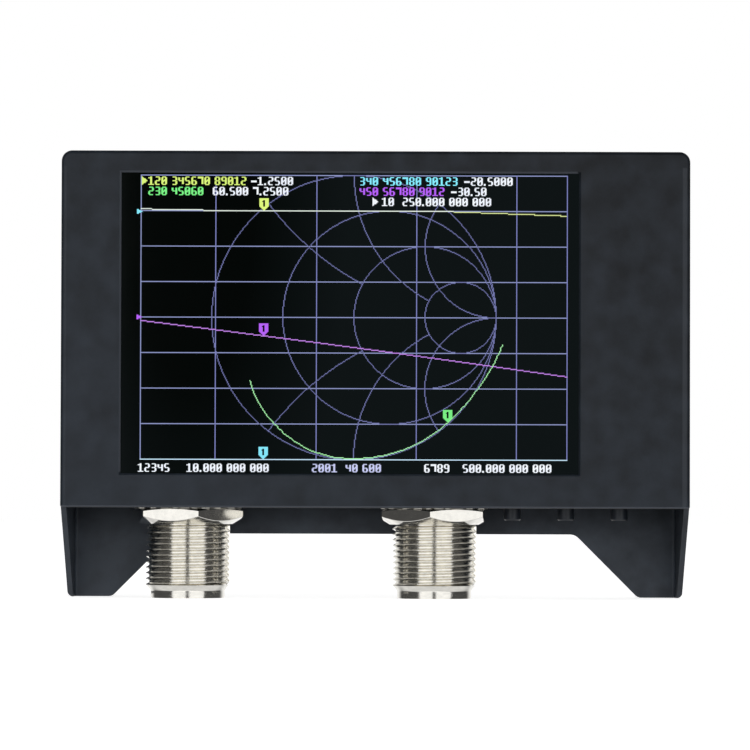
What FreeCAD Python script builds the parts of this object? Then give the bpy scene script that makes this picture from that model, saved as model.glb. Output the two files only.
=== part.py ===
import FreeCAD, Part
import math
import os

# Antenna analyzer: a thin-walled case that stands on two slanted legs, with a touch display
# behind its front cover, two threaded coaxial ports and three push buttons under it, and a
# charging socket, a power slide and two light pipes on top.
# Millimetres. X to the right, Y to the back, Z up. The origin lies midway between the sides
# and between the faces, on the plane of the feet.

V = FreeCAD.Vector
RIGHT = V(1, 0, 0)
BACK = V(0, 1, 0)
UP = V(0, 0, 1)

# Window in the front cover, and the borders round it that make up the case
window_width = 85.15
window_height = 56.0
border_left = 11.175
border_right = 20.675
border_low = 6.3
border_high = 4.1
window_bevel = 0.3

# Case
case_depth = 30.0
leg_drop = 17.05
wall = 1.0
cover_depth = 2.7
top_corner_radius = 2.0
cover_edge_radius = 0.8
cover_lower_edge_radius = 0.4
rear_edge_radius = 1.5
inner_corner_radius = 0.6

# Legs and the notch between them
foot_depth = 5.85
foot_corner_radius = 1.0
slope_end_radius = 1.5
leg_width = 8.15
notch_height = 12.05
notch_slope = 45.0
notch_corner_radius = 2.4
notch_foot_radius = 1.5

# Locating lip of the front cover
lip_thickness = 0.8
lip_reach = 1.5
lip_clearance = 0.1

# Display
gasket_thickness = 0.3
gasket_setback = 0.6
glass_thickness = 1.1
display_margin_left = 1.7
display_margin_right = 5.6
display_margin_side = 1.5
display_corner_radius = 0.6
lcd_thickness = 1.2
backlight_thickness = 2.0
backlight_rim = 0.8

# Main board
board_thickness = 1.6
board_edge_gap = 1.0
board_corner_radius = 2.0
board_port_gap = 0.4

# Standoffs and case screws
standoff_across_flats = 5.0
standoff_turn = 30.0
standoff_inset_x = 5.3
standoff_inset_low = 5.6
standoff_inset_high = 5.5
standoff_bore_depth = 7.0
standoff_stud_length = 5.0
screw_radius = 1.45
screw_clearance = 0.05
screw_head_radius = 2.65
screw_length = 7.0
screw_hole_clearance = 0.15
recess_span = 3.0
recess_width = 0.6
recess_depth = 0.8

# Coaxial ports
port_inset = 23.2
port_switch_gap = 0.7
thread_radius = 7.9375
port_hole_clearance = 0.12
band_radius = 6.65
band_length = 1.5
band_chamfer = 0.15
cone_length = 1.0
cone_blend_radius = 0.8
nut_thread_radius = 7.6
thread_relief_radius = 7.4
thread_relief_length = 0.3
socket_radius = 4.1
socket_depth = 9.1
socket_mouth = 0.4
line_radius = 3.5
line_step = 0.45
line_step_length = 0.8
port_flange_across_flats = 19.0
port_flange_thickness = 2.8
barrel_radius = 6.3
barrel_length = 2.8
prong_length = 4.4
prong_width = 1.5
prong_thickness = 1.3
prong_line_gap = 0.15
insulator_clearance = 0.05
contact_radius = 1.52
contact_recess = 3.9
contact_bore = 0.84
contact_bore_depth = 5.0
contact_slot = 0.25
contact_slot_depth = 4.2
stem_radius = 1.0
pin_radius = 0.65
pin_length = 3.8
nut_across_flats = 19.0
nut_height = 2.9
nut_low_land = 0.55
nut_low_chamfer_angle = 30.0
nut_high_land_inset = 0.1
nut_high_chamfer_angle = 15.0
nut_bore_clearance = 0.05
nut_turns = (12.5, -4.7)
front_angle = -90.0
washer_thickness = 0.2
washer_ring_radius = 9.2
washer_tooth_radius = 10.1
washer_teeth = 16
washer_tooth_start = 0.2
washer_tooth_end = 0.6
washer_tooth_foot = 0.75

# Push buttons
button_count = 3
button_inset = 12.55
button_pitch = 10.05
button_radius = 1.6
button_height = 2.3
button_edge = 0.25
button_travel = 0.3
button_hole_clearance = 0.2
button_guide_clearance = 0.05
button_head_radius = 2.0
button_head_height = 0.8
switch_size = 6.0
switch_wall_gap = 0.3
switch_height = 4.5
switch_frame_thickness = 0.5
switch_play = 0.1
switch_side_clearance = 0.15
dome_thickness = 0.2
dome_rise = 0.35
dome_flat_radius = 0.8

# Power slide
power_inset = 15.5
power_travel = 2.0
power_body_length = 8.6
power_body_depth = 3.7
power_body_height = 4.5
power_body_wall = 0.4
power_wall_gap = 0.3
power_shoe_length = 4.0
power_shoe_height = 1.6
power_post_length = 2.0
power_post_depth = 1.5
power_post_recess = 0.2
power_slot_clearance = 0.25
power_play = 0.1
power_groove = 0.3

# Charging socket
usb_power_gap = 4.7
usb_width = 8.94
usb_height = 3.16
usb_length = 7.3
usb_skin = 0.3
usb_mouth_recess = 0.3
usb_hole_clearance = 0.2
usb_base_length = 2.0
usb_tongue_width = 6.7
usb_tongue_thickness = 0.7
usb_tongue_setback = 1.0

# Light pipes and the lamps under them
lamp_usb_gap = 2.4
lamp_pitch = 4.0
lamp_count = 2
pipe_radius = 1.0
pipe_clearance = 0.05
pipe_recess = 0.15
pipe_collar_radius = 1.6
pipe_collar_height = 0.6
lamp_width = 2.0
lamp_depth = 1.2
lamp_height = 1.0

# Display ribbon and its socket
ribbon_width = 20.5
ribbon_thickness = 0.3
ribbon_bend_radius = 2.0
ribbon_seat_depth = 0.4
ribbon_slot_clearance = 0.15
ribbon_socket_height = 4.0
ribbon_socket_width = 2.6
ribbon_socket_margin = 1.8
ribbon_insertion = 2.5

# Battery
battery_width = 60.0
battery_thickness = 7.0
battery_floor_gap = 3.0
battery_board_top_gap = 12.4
battery_corner_radius = 2.0
battery_edge_radius = 1.0
battery_tape_thickness = 0.5
battery_tape_inset = 4.0
battery_terrace_height = 2.6
battery_terrace_thickness = 0.8
battery_terrace_width = 24.0
lead_middle_x = -6.0
lead_pitch = 2.0
lead_radius = 0.55
lead_rise = 6.5
lead_bend_radius = 2.4
plug_width = 7.9
plug_height = 4.6
lead_entry = 0.15

# Shield cans
can_width = 24.0
can_height = 22.0
can_battery_gap = 1.0
can_skin = 0.3
can_lift = 3.0

# Mixers on the front of the board, above each port
mixer_size = 4.0
mixer_thickness = 0.9
mixer_rise = 18.0

# Other chips on the front of the board: centre x, centre height above the case floor, width,
# height and thickness
processor = (6.0, 34.0, 14.0, 14.0, 1.4)
converter = (-14.0, 30.0, 7.0, 7.0, 1.0)
clock_chip = (-27.0, 34.0, 5.0, 5.0, 0.9)
memory_chip = (24.0, 34.0, 6.0, 5.0, 1.2)
crystal_can = (-27.0, 43.0, 7.0, 5.0, 1.3)
charger_chip = (29.5, 49.0, 4.0, 4.0, 0.9)
chips = (processor, converter, clock_chip, memory_chip, crystal_can, charger_chip)

# Planes that follow from the sizes
cut_over = 1.0
slot_end_flat = 0.02
same_place = 0.001
front_y = -case_depth / 2
back_y = case_depth / 2
seam_y = front_y + cover_depth
cover_inner_y = front_y + wall
case_inner_y = back_y - wall
half_width = (border_left + window_width + border_right) / 2
inner_half_width = half_width - wall
floor_under = leg_drop
floor_top = leg_drop + wall
window_low = leg_drop + border_low
window_high = window_low + window_height
window_left = -half_width + border_left
window_right = half_width - border_right
case_top = window_high + border_high
ceiling = case_top - wall
port_y = 0.0
board_front = port_y + pin_radius
board_back = board_front + board_thickness
board_low = floor_top + board_edge_gap
board_high = ceiling - board_edge_gap
display_left = window_left - display_margin_left
display_right = window_right + display_margin_right
display_low = window_low - display_margin_side
display_high = window_high + display_margin_side
glass_front = cover_inner_y + gasket_thickness
lcd_front = glass_front + glass_thickness
lcd_back = lcd_front + lcd_thickness
backlight_back = lcd_back + backlight_thickness
nut_top = floor_under - washer_thickness
nut_low = nut_top - nut_height
flange_top = floor_top + port_flange_thickness
barrel_top = flange_top + barrel_length
switch_y = board_front - switch_size / 2
switch_bottom = floor_top + switch_wall_gap
button_last_x = half_width - button_inset
button_x = [button_last_x - button_pitch * i for i in reversed(range(button_count))]
port_reach = port_flange_across_flats / math.sqrt(3)
port_2_x = button_x[0] - switch_size / 2 - port_switch_gap - port_reach
port_x = {1: -half_width + port_inset, 2: port_2_x}
nut_turn = {1: nut_turns[0], 2: nut_turns[1]}
power_x = half_width - power_inset
power_y = board_front - power_body_depth / 2
power_top = ceiling - power_wall_gap
usb_x = power_x - power_body_length / 2 - usb_power_gap - usb_width / 2
usb_y = board_front - usb_height / 2
usb_mouth = case_top - usb_mouth_recess
lamp_1_x = usb_x - usb_width / 2 - lamp_usb_gap - pipe_collar_radius
lamp_x = [lamp_1_x - lamp_pitch * i for i in range(lamp_count)]
lamp_y = board_front - lamp_depth / 2
ribbon_x = display_right + ribbon_bend_radius
ribbon_z = window_low + window_height / 2
battery_back = case_inner_y - battery_tape_thickness
battery_front = battery_back - battery_thickness
battery_mid_y = battery_back - battery_thickness / 2
battery_low = floor_top + battery_floor_gap
battery_top = board_high - battery_board_top_gap
lead_top = battery_top + lead_rise
plug_face = battery_mid_y - lead_bend_radius - lead_entry
can_back = battery_front - can_battery_gap


def box(x0, x1, y0, y1, z0, z1):
    """A block between two values on each axis."""
    return Part.makeBox(x1 - x0, y1 - y0, z1 - z0, V(x0, y0, z0))


def at_x(x):
    """Places a flat outline drawn in depth and height."""
    return lambda u, v: V(x, u, v)


def at_y(y):
    """Places a flat outline drawn in width and height."""
    return lambda u, v: V(u, y, v)


def at_z(z):
    """Places a flat outline drawn in width and depth."""
    return lambda u, v: V(u, v, z)


def rectangle(u0, u1, v0, v1, low_radius=0.0, high_radius=None):
    """Corners (u, v, radius) of a rectangle, with one radius for the low pair and one for the high."""
    if high_radius is None:
        high_radius = low_radius
    return [(u0, v0, low_radius), (u1, v0, low_radius), (u1, v1, high_radius), (u0, v1, high_radius)]


def outline(corners, place):
    """A flat face inside a closed run of corners (u, v, radius), each rounded to its radius."""
    points = [V(u, v, 0) for u, v, radius in corners]
    count = len(points)
    runs = []
    for i in range(count):
        here = points[i]
        radius = corners[i][2]
        to_last = (points[i - 1] - here).normalize()
        to_next = (points[(i + 1) % count] - here).normalize()
        if radius <= 0:
            runs.append((here, here, here))
            continue
        half_turn = to_last.getAngle(to_next) / 2
        reach = radius / math.tan(half_turn)
        inward = (to_last + to_next).normalize()
        middle = here + inward * (radius / math.sin(half_turn) - radius)
        runs.append((here + to_last * reach, middle, here + to_next * reach))
    edges = []
    for i in range(count):
        start, middle, end = [place(p.x, p.y) for p in runs[i]]
        following = runs[(i + 1) % count][0]
        if corners[i][2] > 0:
            edges.append(Part.Arc(start, middle, end).toShape())
        edges.append(Part.LineSegment(end, place(following.x, following.y)).toShape())
    return Part.Face(Part.Wire(edges))


def prism_x(corners, x0, x1):
    """An outline in depth and height, drawn out across the case."""
    return outline(corners, at_x(x0)).extrude(RIGHT * (x1 - x0))


def prism_y(corners, y0, y1):
    """An outline in width and height, drawn out from front to back."""
    return outline(corners, at_y(y0)).extrude(BACK * (y1 - y0))


def prism_z(corners, z0, z1):
    """An outline in width and depth, drawn out upwards."""
    return outline(corners, at_z(z0)).extrude(UP * (z1 - z0))


def turned(points, base, axis):
    """A solid turned about an axis through base, from (radius, distance along the axis) corners.

    A corner may have a third value, its rounding.
    """
    corners = [(point + (0,))[:3] for point in points]
    return outline(corners, lambda u, v: base + RIGHT * u + axis * v).revolve(base, axis, 360)


def hexagon(across_flats, centre_u, centre_v, turn):
    """Corners of a hexagon, the first at turn degrees from the u axis."""
    radius = across_flats / math.sqrt(3)
    angles = [math.radians(turn + 60 * k) for k in range(6)]
    return [(centre_u + radius * math.cos(a), centre_v + radius * math.sin(a), 0) for a in angles]


def frame(outer, inner, y0, y1):
    """A flat ring between two outlines, drawn out from front to back."""
    return prism_y(outer, y0, y1).cut(prism_y(inner, y0 - cut_over, y1 + cut_over))


def rounded_edges(solid, radius, test):
    """The solid with a rounding on each edge for which the test on its middle holds."""
    chosen = [e for e in solid.Edges if test(e.valueAt((e.FirstParameter + e.LastParameter) / 2))]
    return solid.makeFillet(radius, chosen)


def near(a, b):
    """Whether two values are the same, to a thousandth of a millimetre."""
    return abs(a - b) < same_place


def standoff_places():
    """Centres of the four standoffs, as (x, z)."""
    side = half_width - standoff_inset_x
    low = leg_drop + standoff_inset_low
    high = case_top - standoff_inset_high
    return [(-side, low), (side, low), (-side, high), (side, high)]


def front_cover():
    """A shallow tray with the window, rounded front edges and a lip that enters the rear case."""
    shape = rectangle(-half_width, half_width, leg_drop, case_top, 0, top_corner_radius)
    tray = prism_y(shape, front_y, seam_y)
    tray = rounded_edges(tray, cover_edge_radius, lambda p: near(p.y, front_y) and p.z > leg_drop)
    tray = rounded_edges(tray, cover_lower_edge_radius, lambda p: near(p.y, front_y) and near(p.z, leg_drop))
    inner_top_radius = top_corner_radius - wall
    hollow = rectangle(-inner_half_width, inner_half_width, floor_top, ceiling, 0, inner_top_radius)
    tray = tray.cut(prism_y(hollow, cover_inner_y, seam_y + cut_over))
    inset = lip_clearance + lip_thickness
    lip_inner = rectangle(-inner_half_width + inset, inner_half_width - inset, floor_top + inset, ceiling - inset)
    lip_outer = rectangle(-inner_half_width + lip_clearance, inner_half_width - lip_clearance,
                          floor_top + lip_clearance, ceiling - lip_clearance, 0, inner_top_radius)
    tray = tray.fuse(frame(hollow, lip_inner, cover_inner_y, seam_y))
    tray = tray.fuse(frame(lip_outer, lip_inner, seam_y, seam_y + lip_reach))
    opening = rectangle(window_left, window_right, window_low, window_high)
    tray = tray.cut(prism_y(opening, front_y - cut_over, seam_y + cut_over))
    wide = rectangle(window_left - window_bevel, window_right + window_bevel, window_low - window_bevel,
                     window_high + window_bevel)
    outer_wire = outline(wide, at_y(front_y)).OuterWire
    inner_wire = outline(opening, at_y(front_y + window_bevel)).OuterWire
    bevel = Part.makeLoft([outer_wire, inner_wire], True, True)
    return tray.cut(bevel).removeSplitter()


def leg_space():
    """What is cut away below the floor: the room under the case and the slope of the side walls."""
    room = box(-inner_half_width, inner_half_width, seam_y - cut_over, case_inner_y, -cut_over, floor_under)
    room = rounded_edges(room, inner_corner_radius,
                         lambda p: near(p.y, case_inner_y) and near(abs(p.x), inner_half_width))
    foot_front = back_y - foot_depth
    slope = [(seam_y, leg_drop, 0), (foot_front, 0, slope_end_radius), (back_y, 0, 0), (back_y, -cut_over, 0),
             (seam_y - cut_over, -cut_over, 0), (seam_y - cut_over, leg_drop, 0)]
    return room.fuse(prism_x(slope, -half_width - cut_over, half_width + cut_over))


def leg_notch():
    """The wide notch in the back wall that leaves a leg at each side."""
    run = 1 / math.tan(math.radians(notch_slope))
    half_low = half_width - leg_width
    half_top = half_low - notch_height * run
    half_under = half_low + cut_over * run
    corners = [(-half_under, -cut_over, 0), (half_under, -cut_over, 0),
               (half_top, notch_height, notch_corner_radius), (-half_top, notch_height, notch_corner_radius)]
    return prism_y(corners, seam_y, back_y + cut_over)


def rear_case():
    """The deep shell with its floor, its slanted legs and the holes for all that passes through."""
    block = prism_y(rectangle(-half_width, half_width, 0, case_top, 0, top_corner_radius), seam_y, back_y)
    block = rounded_edges(block, rear_edge_radius, lambda p: near(p.y, back_y) and p.z > foot_corner_radius)
    feet = rectangle(-half_width, half_width, 0, case_top, foot_corner_radius, 0)
    block = block.common(prism_y(feet, seam_y - cut_over, back_y + cut_over))
    hollow = rectangle(-inner_half_width, inner_half_width, floor_top, ceiling, 0, top_corner_radius - wall)
    cavity = prism_y(hollow, seam_y - cut_over, case_inner_y)
    cavity = rounded_edges(cavity, inner_corner_radius, lambda p: near(p.y, case_inner_y))
    shell = block.cut(cavity).cut(leg_space()).cut(leg_notch())
    shell = rounded_edges(shell, notch_foot_radius,
                          lambda p: near(p.z, 0) and near(abs(p.x), half_width - leg_width))
    return shell.cut(Part.makeCompound(floor_holes() + top_holes() + screw_holes())).removeSplitter()


def floor_holes():
    """Holes in the floor for the ports and the buttons."""
    holes = []
    for x in port_x.values():
        base = V(x, port_y, floor_under - cut_over)
        holes.append(Part.makeCylinder(thread_radius + port_hole_clearance, wall + 2 * cut_over, base))
    for x in button_x:
        base = V(x, switch_y, floor_under - cut_over)
        holes.append(Part.makeCylinder(button_radius + button_hole_clearance, wall + 2 * cut_over, base))
    return holes


def top_holes():
    """Holes in the top for the charging socket, the power slide and the light pipes."""
    low = ceiling - cut_over
    high = case_top + cut_over
    usb_hole = stadium(usb_x, usb_y, usb_width + 2 * usb_hole_clearance, usb_height + 2 * usb_hole_clearance)
    slot_half = (power_post_length + power_travel) / 2 + power_slot_clearance
    slot_depth = power_post_depth / 2 + power_slot_clearance
    slot = rectangle(power_x - slot_half, power_x + slot_half, power_y - slot_depth, power_y + slot_depth,
                     power_slot_clearance)
    holes = [prism_z(usb_hole, low, high), prism_z(slot, low, high)]
    for x in lamp_x:
        holes.append(Part.makeCylinder(pipe_radius + pipe_clearance, high - low, V(x, lamp_y, low)))
    return holes


def screw_holes():
    """Countersunk holes in the back wall for the case screws."""
    head = screw_head_radius + screw_hole_clearance
    hole = screw_radius + screw_hole_clearance
    profile = [(0, -wall - cut_over), (hole, -wall - cut_over), (hole, -wall), (head, 0),
               (head, cut_over), (0, cut_over)]
    return [turned(profile, V(x, back_y, z), BACK) for x, z in standoff_places()]


def stadium(x, y, width, height):
    """Corners of a slot with fully rounded ends, in width and depth."""
    radius = (height - slot_end_flat) / 2
    return rectangle(x - width / 2, x + width / 2, y - height / 2, y + height / 2, radius)


def case_screws():
    """Countersunk screws with a cross recess, from the back wall into the rear standoffs."""
    profile = [(0, -screw_length), (screw_radius, -screw_length), (screw_radius, -wall),
               (screw_head_radius, 0), (0, 0)]
    screws = []
    for x, z in standoff_places():
        screw = turned(profile, V(x, back_y, z), BACK)
        long_half = recess_span / 2
        short_half = recess_width / 2
        floor = back_y - recess_depth
        flat = box(x - long_half, x + long_half, floor, back_y + cut_over, z - short_half, z + short_half)
        upright = box(x - short_half, x + short_half, floor, back_y + cut_over, z - long_half, z + long_half)
        screws.append(screw.cut(flat.fuse(upright)))
    return Part.makeCompound(screws)


def standoff_bore(x, z, back):
    """The threaded bore that opens at the back end of a standoff."""
    bore = screw_radius + screw_clearance
    return Part.makeCylinder(bore, standoff_bore_depth, V(x, back - standoff_bore_depth, z), BACK)


def front_standoffs():
    """Hexagonal standoffs from the front cover to the board."""
    pillars = []
    for x, z in standoff_places():
        corners = hexagon(standoff_across_flats, x, z, standoff_turn)
        pillar = prism_y(corners, cover_inner_y, board_front)
        pillars.append(pillar.cut(standoff_bore(x, z, board_front)))
    return Part.makeCompound(pillars)


def rear_standoffs():
    """Hexagonal standoffs from the board to the back wall, with studs through the board."""
    pillars = []
    for x, z in standoff_places():
        corners = hexagon(standoff_across_flats, x, z, standoff_turn)
        pillar = prism_y(corners, board_back, case_inner_y)
        pillar = pillar.cut(standoff_bore(x, z, case_inner_y))
        length = board_thickness + standoff_stud_length
        stud = Part.makeCylinder(screw_radius, length, V(x, board_back - length, z), BACK)
        pillars.append(pillar.fuse(stud))
    return Part.makeCompound(pillars)


def window_gasket():
    """Thin foam frame between the front cover and the glass."""
    outer = rectangle(display_left, display_right, display_low, display_high)
    inner = rectangle(window_left - gasket_setback, window_right + gasket_setback,
                      window_low - gasket_setback, window_high + gasket_setback)
    return frame(outer, inner, cover_inner_y, glass_front)


def touch_glass():
    """The touch panel behind the window."""
    shape = rectangle(display_left, display_right, display_low, display_high, display_corner_radius)
    return prism_y(shape, glass_front, lcd_front)


def lcd_corners(inset):
    """The display's outline, drawn in by an inset."""
    return rectangle(display_left + inset, display_right - inset, display_low + inset, display_high - inset)


def lcd_panel():
    """The liquid crystal glass, in the backlight's tray."""
    return prism_y(lcd_corners(backlight_rim), lcd_front, lcd_back)


def backlight_frame():
    """The backlight's tray, with a gap in its right rim for the ribbon."""
    tray = prism_y(lcd_corners(0), lcd_front, backlight_back)
    tray = tray.cut(prism_y(lcd_corners(backlight_rim), lcd_front - cut_over, lcd_back))
    half = ribbon_width / 2 + ribbon_slot_clearance
    gap = box(display_right - backlight_rim - cut_over, display_right + cut_over,
              lcd_front - cut_over, lcd_back, ribbon_z - half, ribbon_z + half)
    return tray.cut(gap)


def lcd_ribbon():
    """The flat ribbon, bent back from the display's right edge to its socket on the board."""
    start = display_right - backlight_rim
    front = lcd_front + ribbon_seat_depth
    back = front + ribbon_thickness
    inside = ribbon_x - ribbon_thickness
    tip = board_front - ribbon_socket_height + ribbon_insertion
    corners = [(start, front, 0), (ribbon_x, front, ribbon_bend_radius), (ribbon_x, tip, 0),
               (inside, tip, 0), (inside, back, ribbon_bend_radius - ribbon_thickness), (start, back, 0)]
    half = ribbon_width / 2
    return prism_z(corners, ribbon_z - half, ribbon_z + half)


def ribbon_socket():
    """The upright socket that the ribbon enters."""
    middle = ribbon_x - ribbon_thickness / 2
    half = ribbon_width / 2
    height = half + ribbon_socket_margin
    mouth = board_front - ribbon_socket_height
    block = box(middle - ribbon_socket_width / 2, middle + ribbon_socket_width / 2,
                mouth, board_front, ribbon_z - height, ribbon_z + height)
    gap = ribbon_slot_clearance
    slot = box(ribbon_x - ribbon_thickness - gap, ribbon_x + gap, mouth - cut_over,
               mouth + ribbon_insertion + gap, ribbon_z - half - gap, ribbon_z + half + gap)
    return block.cut(slot)


def main_board():
    """The circuit board, notched round both ports, with a hole for each standoff's stud."""
    half = inner_half_width - board_edge_gap
    board = prism_y(rectangle(-half, half, board_low, board_high, board_corner_radius), board_front, board_back)
    reach = port_reach + board_port_gap
    for x in port_x.values():
        board = board.cut(box(x - reach, x + reach, board_front - cut_over, board_back + cut_over,
                              board_low - cut_over, barrel_top + board_port_gap))
    for x, z in standoff_places():
        base = V(x, board_front - cut_over, z)
        board = board.cut(Part.makeCylinder(screw_radius + screw_hole_clearance,
                                            board_thickness + 2 * cut_over, base, BACK))
    return board


def board_chips():
    """The chips on the front of the board."""
    blocks = []
    for x, rise, width, height, thickness in chips:
        z = floor_top + rise
        blocks.append(box(x - width / 2, x + width / 2, board_front - thickness, board_front,
                          z - height / 2, z + height / 2))
    for x in port_x.values():
        low = floor_top + mixer_rise - mixer_size / 2
        blocks.append(box(x - mixer_size / 2, x + mixer_size / 2, board_front - mixer_thickness, board_front,
                          low, low + mixer_size))
    return Part.makeCompound(blocks)


def shield_cans():
    """Thin metal lids over the receiver circuits behind each port."""
    cans = []
    low = barrel_top + prong_length + can_lift
    for x in port_x.values():
        half = can_width / 2
        can = box(x - half, x + half, board_back, can_back, low, low + can_height)
        room = box(x - half + can_skin, x + half - can_skin, board_back - cut_over,
                   can_back - can_skin, low + can_skin, low + can_height - can_skin)
        cans.append(can.cut(room))
    return Part.makeCompound(cans)


def port_body(x):
    """The port's turned shell: a thread with a relief at the nut, an inner flange and board prongs.

    Inside the nut the thread is a cylinder of the radius at which the two threads meet.
    """
    axis = V(x, port_y, 0)
    insulator_seat = socket_depth + line_step_length
    profile = [(socket_radius + socket_mouth, 0), (band_radius - band_chamfer, 0), (band_radius, band_chamfer),
               (band_radius, band_length, cone_blend_radius), (thread_radius, band_length + cone_length),
               (thread_radius, nut_low - thread_relief_length),
               (thread_relief_radius, nut_low - thread_relief_length), (thread_relief_radius, nut_low),
               (nut_thread_radius, nut_low), (nut_thread_radius, flange_top), (barrel_radius, flange_top),
               (barrel_radius, barrel_top),
               (line_radius, barrel_top), (line_radius, insulator_seat),
               (line_radius - line_step, insulator_seat), (line_radius - line_step, socket_depth),
               (socket_radius, socket_depth), (socket_radius, socket_mouth)]
    shell = turned(profile, axis, UP)
    flange = prism_z(hexagon(port_flange_across_flats, x, port_y, 0), floor_top, flange_top)
    core = Part.makeCylinder(barrel_radius, port_flange_thickness, V(x, port_y, floor_top))
    shell = shell.fuse(flange.cut(core))
    prong_offset = line_radius + prong_line_gap + prong_width / 2
    for side in (-1, 1):
        left = x + side * prong_offset - prong_width / 2
        for low, high in ((board_front - prong_thickness, board_front), (board_back, board_back + prong_thickness)):
            shell = shell.fuse(box(left, left + prong_width, low, high, barrel_top, barrel_top + prong_length))
    return shell.removeSplitter()


def port_insulator(x):
    """The white insulator, seated on the step inside the shell."""
    outer = line_radius - insulator_clearance
    inner = stem_radius + insulator_clearance
    nose = line_radius - line_step - insulator_clearance
    seat = socket_depth + line_step_length
    profile = [(inner, socket_depth), (nose, socket_depth), (nose, seat), (outer, seat),
               (outer, barrel_top), (inner, barrel_top)]
    return turned(profile, V(x, port_y, 0), UP)


def port_contact(x):
    """The centre contact: a slotted socket, a stem through the insulator and a pin on the board."""
    shoulder = socket_depth - insulator_clearance
    profile = [(contact_bore, contact_recess), (contact_radius, contact_recess), (contact_radius, shoulder),
               (stem_radius, shoulder), (stem_radius, barrel_top), (pin_radius, barrel_top),
               (pin_radius, barrel_top + pin_length), (0, barrel_top + pin_length),
               (0, contact_recess + contact_bore_depth), (contact_bore, contact_recess + contact_bore_depth)]
    contact = turned(profile, V(x, port_y, 0), UP)
    reach = contact_radius + cut_over
    half = contact_slot / 2
    low = contact_recess - cut_over
    high = contact_recess + contact_slot_depth
    across = box(x - reach, x + reach, port_y - half, port_y + half, low, high)
    along = box(x - half, x + half, port_y - reach, port_y + reach, low, high)
    return contact.cut(across.fuse(along))


def port_nut(x, turn):
    """The hexagonal nut, with both faces chamfered, that clamps the port in the floor."""
    corner = nut_across_flats / math.sqrt(3)
    bore = nut_thread_radius + nut_bore_clearance
    low_land = thread_radius + nut_low_land
    low_rise = (corner - low_land) * math.tan(math.radians(nut_low_chamfer_angle))
    high_land = nut_across_flats / 2 - nut_high_land_inset
    high_drop = (corner - high_land) * math.tan(math.radians(nut_high_chamfer_angle))
    envelope = turned([(bore, nut_low), (low_land, nut_low), (corner, nut_low + low_rise),
                       (corner, nut_top - high_drop), (high_land, nut_top), (bore, nut_top)],
                      V(x, port_y, 0), UP)
    hexagonal = prism_z(hexagon(nut_across_flats, x, port_y, turn + front_angle), nut_low, nut_top)
    return hexagonal.common(envelope)


def port_washer(x, turn):
    """The toothed lock washer between the nut and the floor."""
    step = 2 * math.pi / washer_teeth
    start = math.radians(turn)
    corners = []
    for k in range(washer_teeth):
        for share, radius in ((0, washer_ring_radius), (washer_tooth_start, washer_tooth_radius),
                              (washer_tooth_end, washer_tooth_radius), (washer_tooth_foot, washer_ring_radius)):
            angle = start + step * (k + share)
            corners.append((x + radius * math.cos(angle), port_y + radius * math.sin(angle), 0))
    ring = prism_z(corners, nut_top, floor_under)
    bore = nut_thread_radius + nut_bore_clearance
    return ring.cut(Part.makeCylinder(bore, washer_thickness + 2 * cut_over, V(x, port_y, nut_top - cut_over)))


def push_button(x):
    """A round plunger through the floor, with a head that the switch's frame holds in."""
    tip = floor_under - button_height
    head = switch_bottom + switch_frame_thickness + switch_play
    profile = [(0, tip), (button_radius - button_edge, tip), (button_radius, tip + button_edge),
               (button_radius, head), (button_head_radius, head), (button_head_radius, head + button_head_height),
               (0, head + button_head_height)]
    return turned(profile, V(x, switch_y, 0), UP)


def switch_frames():
    """Metal frames that close the switches, with the hole that guides each plunger."""
    half = switch_size / 2
    plates = []
    for x in button_x:
        plate = box(x - half, x + half, switch_y - half, switch_y + half,
                    switch_bottom, switch_bottom + switch_frame_thickness)
        hole = Part.makeCylinder(button_radius + button_guide_clearance, switch_frame_thickness + 2 * cut_over,
                                 V(x, switch_y, switch_bottom - cut_over))
        plates.append(plate.cut(hole))
    return Part.makeCompound(plates)


def switch_room():
    """Height inside a switch: the head, its travel and its play, up to the dome."""
    return switch_play + button_head_height + button_travel + switch_play


def switch_bases():
    """Moulded bases on the board, each with a round well for the plunger's head and the dome."""
    half = switch_size / 2
    low = switch_bottom + switch_frame_thickness
    well = switch_room() + dome_rise + dome_thickness
    bases = []
    for x in button_x:
        block = box(x - half, x + half, switch_y - half, switch_y + half, low, switch_bottom + switch_height)
        hole = Part.makeCylinder(button_head_radius + switch_side_clearance, well + cut_over,
                                 V(x, switch_y, low - cut_over))
        bases.append(block.cut(hole))
    return Part.makeCompound(bases)


def switch_domes():
    """Snap domes, each a shallow dished disc at the end of its well."""
    low = switch_bottom + switch_frame_thickness + switch_room()
    top = low + dome_rise + dome_thickness
    flat = dome_flat_radius
    rim = button_head_radius
    domes = []
    for x in button_x:
        profile = [(0, low), (flat, low), (rim, top - dome_thickness), (rim, top),
                   (flat, low + dome_thickness), (0, low + dome_thickness)]
        domes.append(turned(profile, V(x, switch_y, 0), UP))
    return Part.makeCompound(domes)


def power_cavity():
    """Low and high ends of the room that the power slide's shoe runs in."""
    high = power_top - power_body_wall
    return high - power_shoe_height - 2 * power_play, high


def power_switch_body():
    """The power switch's housing on the board, open above for the slide."""
    half_length = power_body_length / 2
    half_depth = power_body_depth / 2
    block = box(power_x - half_length, power_x + half_length, power_y - half_depth, power_y + half_depth,
                power_top - power_body_height, power_top)
    low, high = power_cavity()
    skin = power_body_wall
    room = box(power_x - half_length + skin, power_x + half_length - skin, power_y - half_depth + skin,
               power_y + half_depth - skin, low, high)
    slot_half = (power_post_length + power_travel) / 2 + power_slot_clearance
    slot_depth = power_post_depth / 2 + power_slot_clearance
    slot = box(power_x - slot_half, power_x + slot_half, power_y - slot_depth, power_y + slot_depth,
               high - power_play, power_top + cut_over)
    return block.cut(room).cut(slot)


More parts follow.
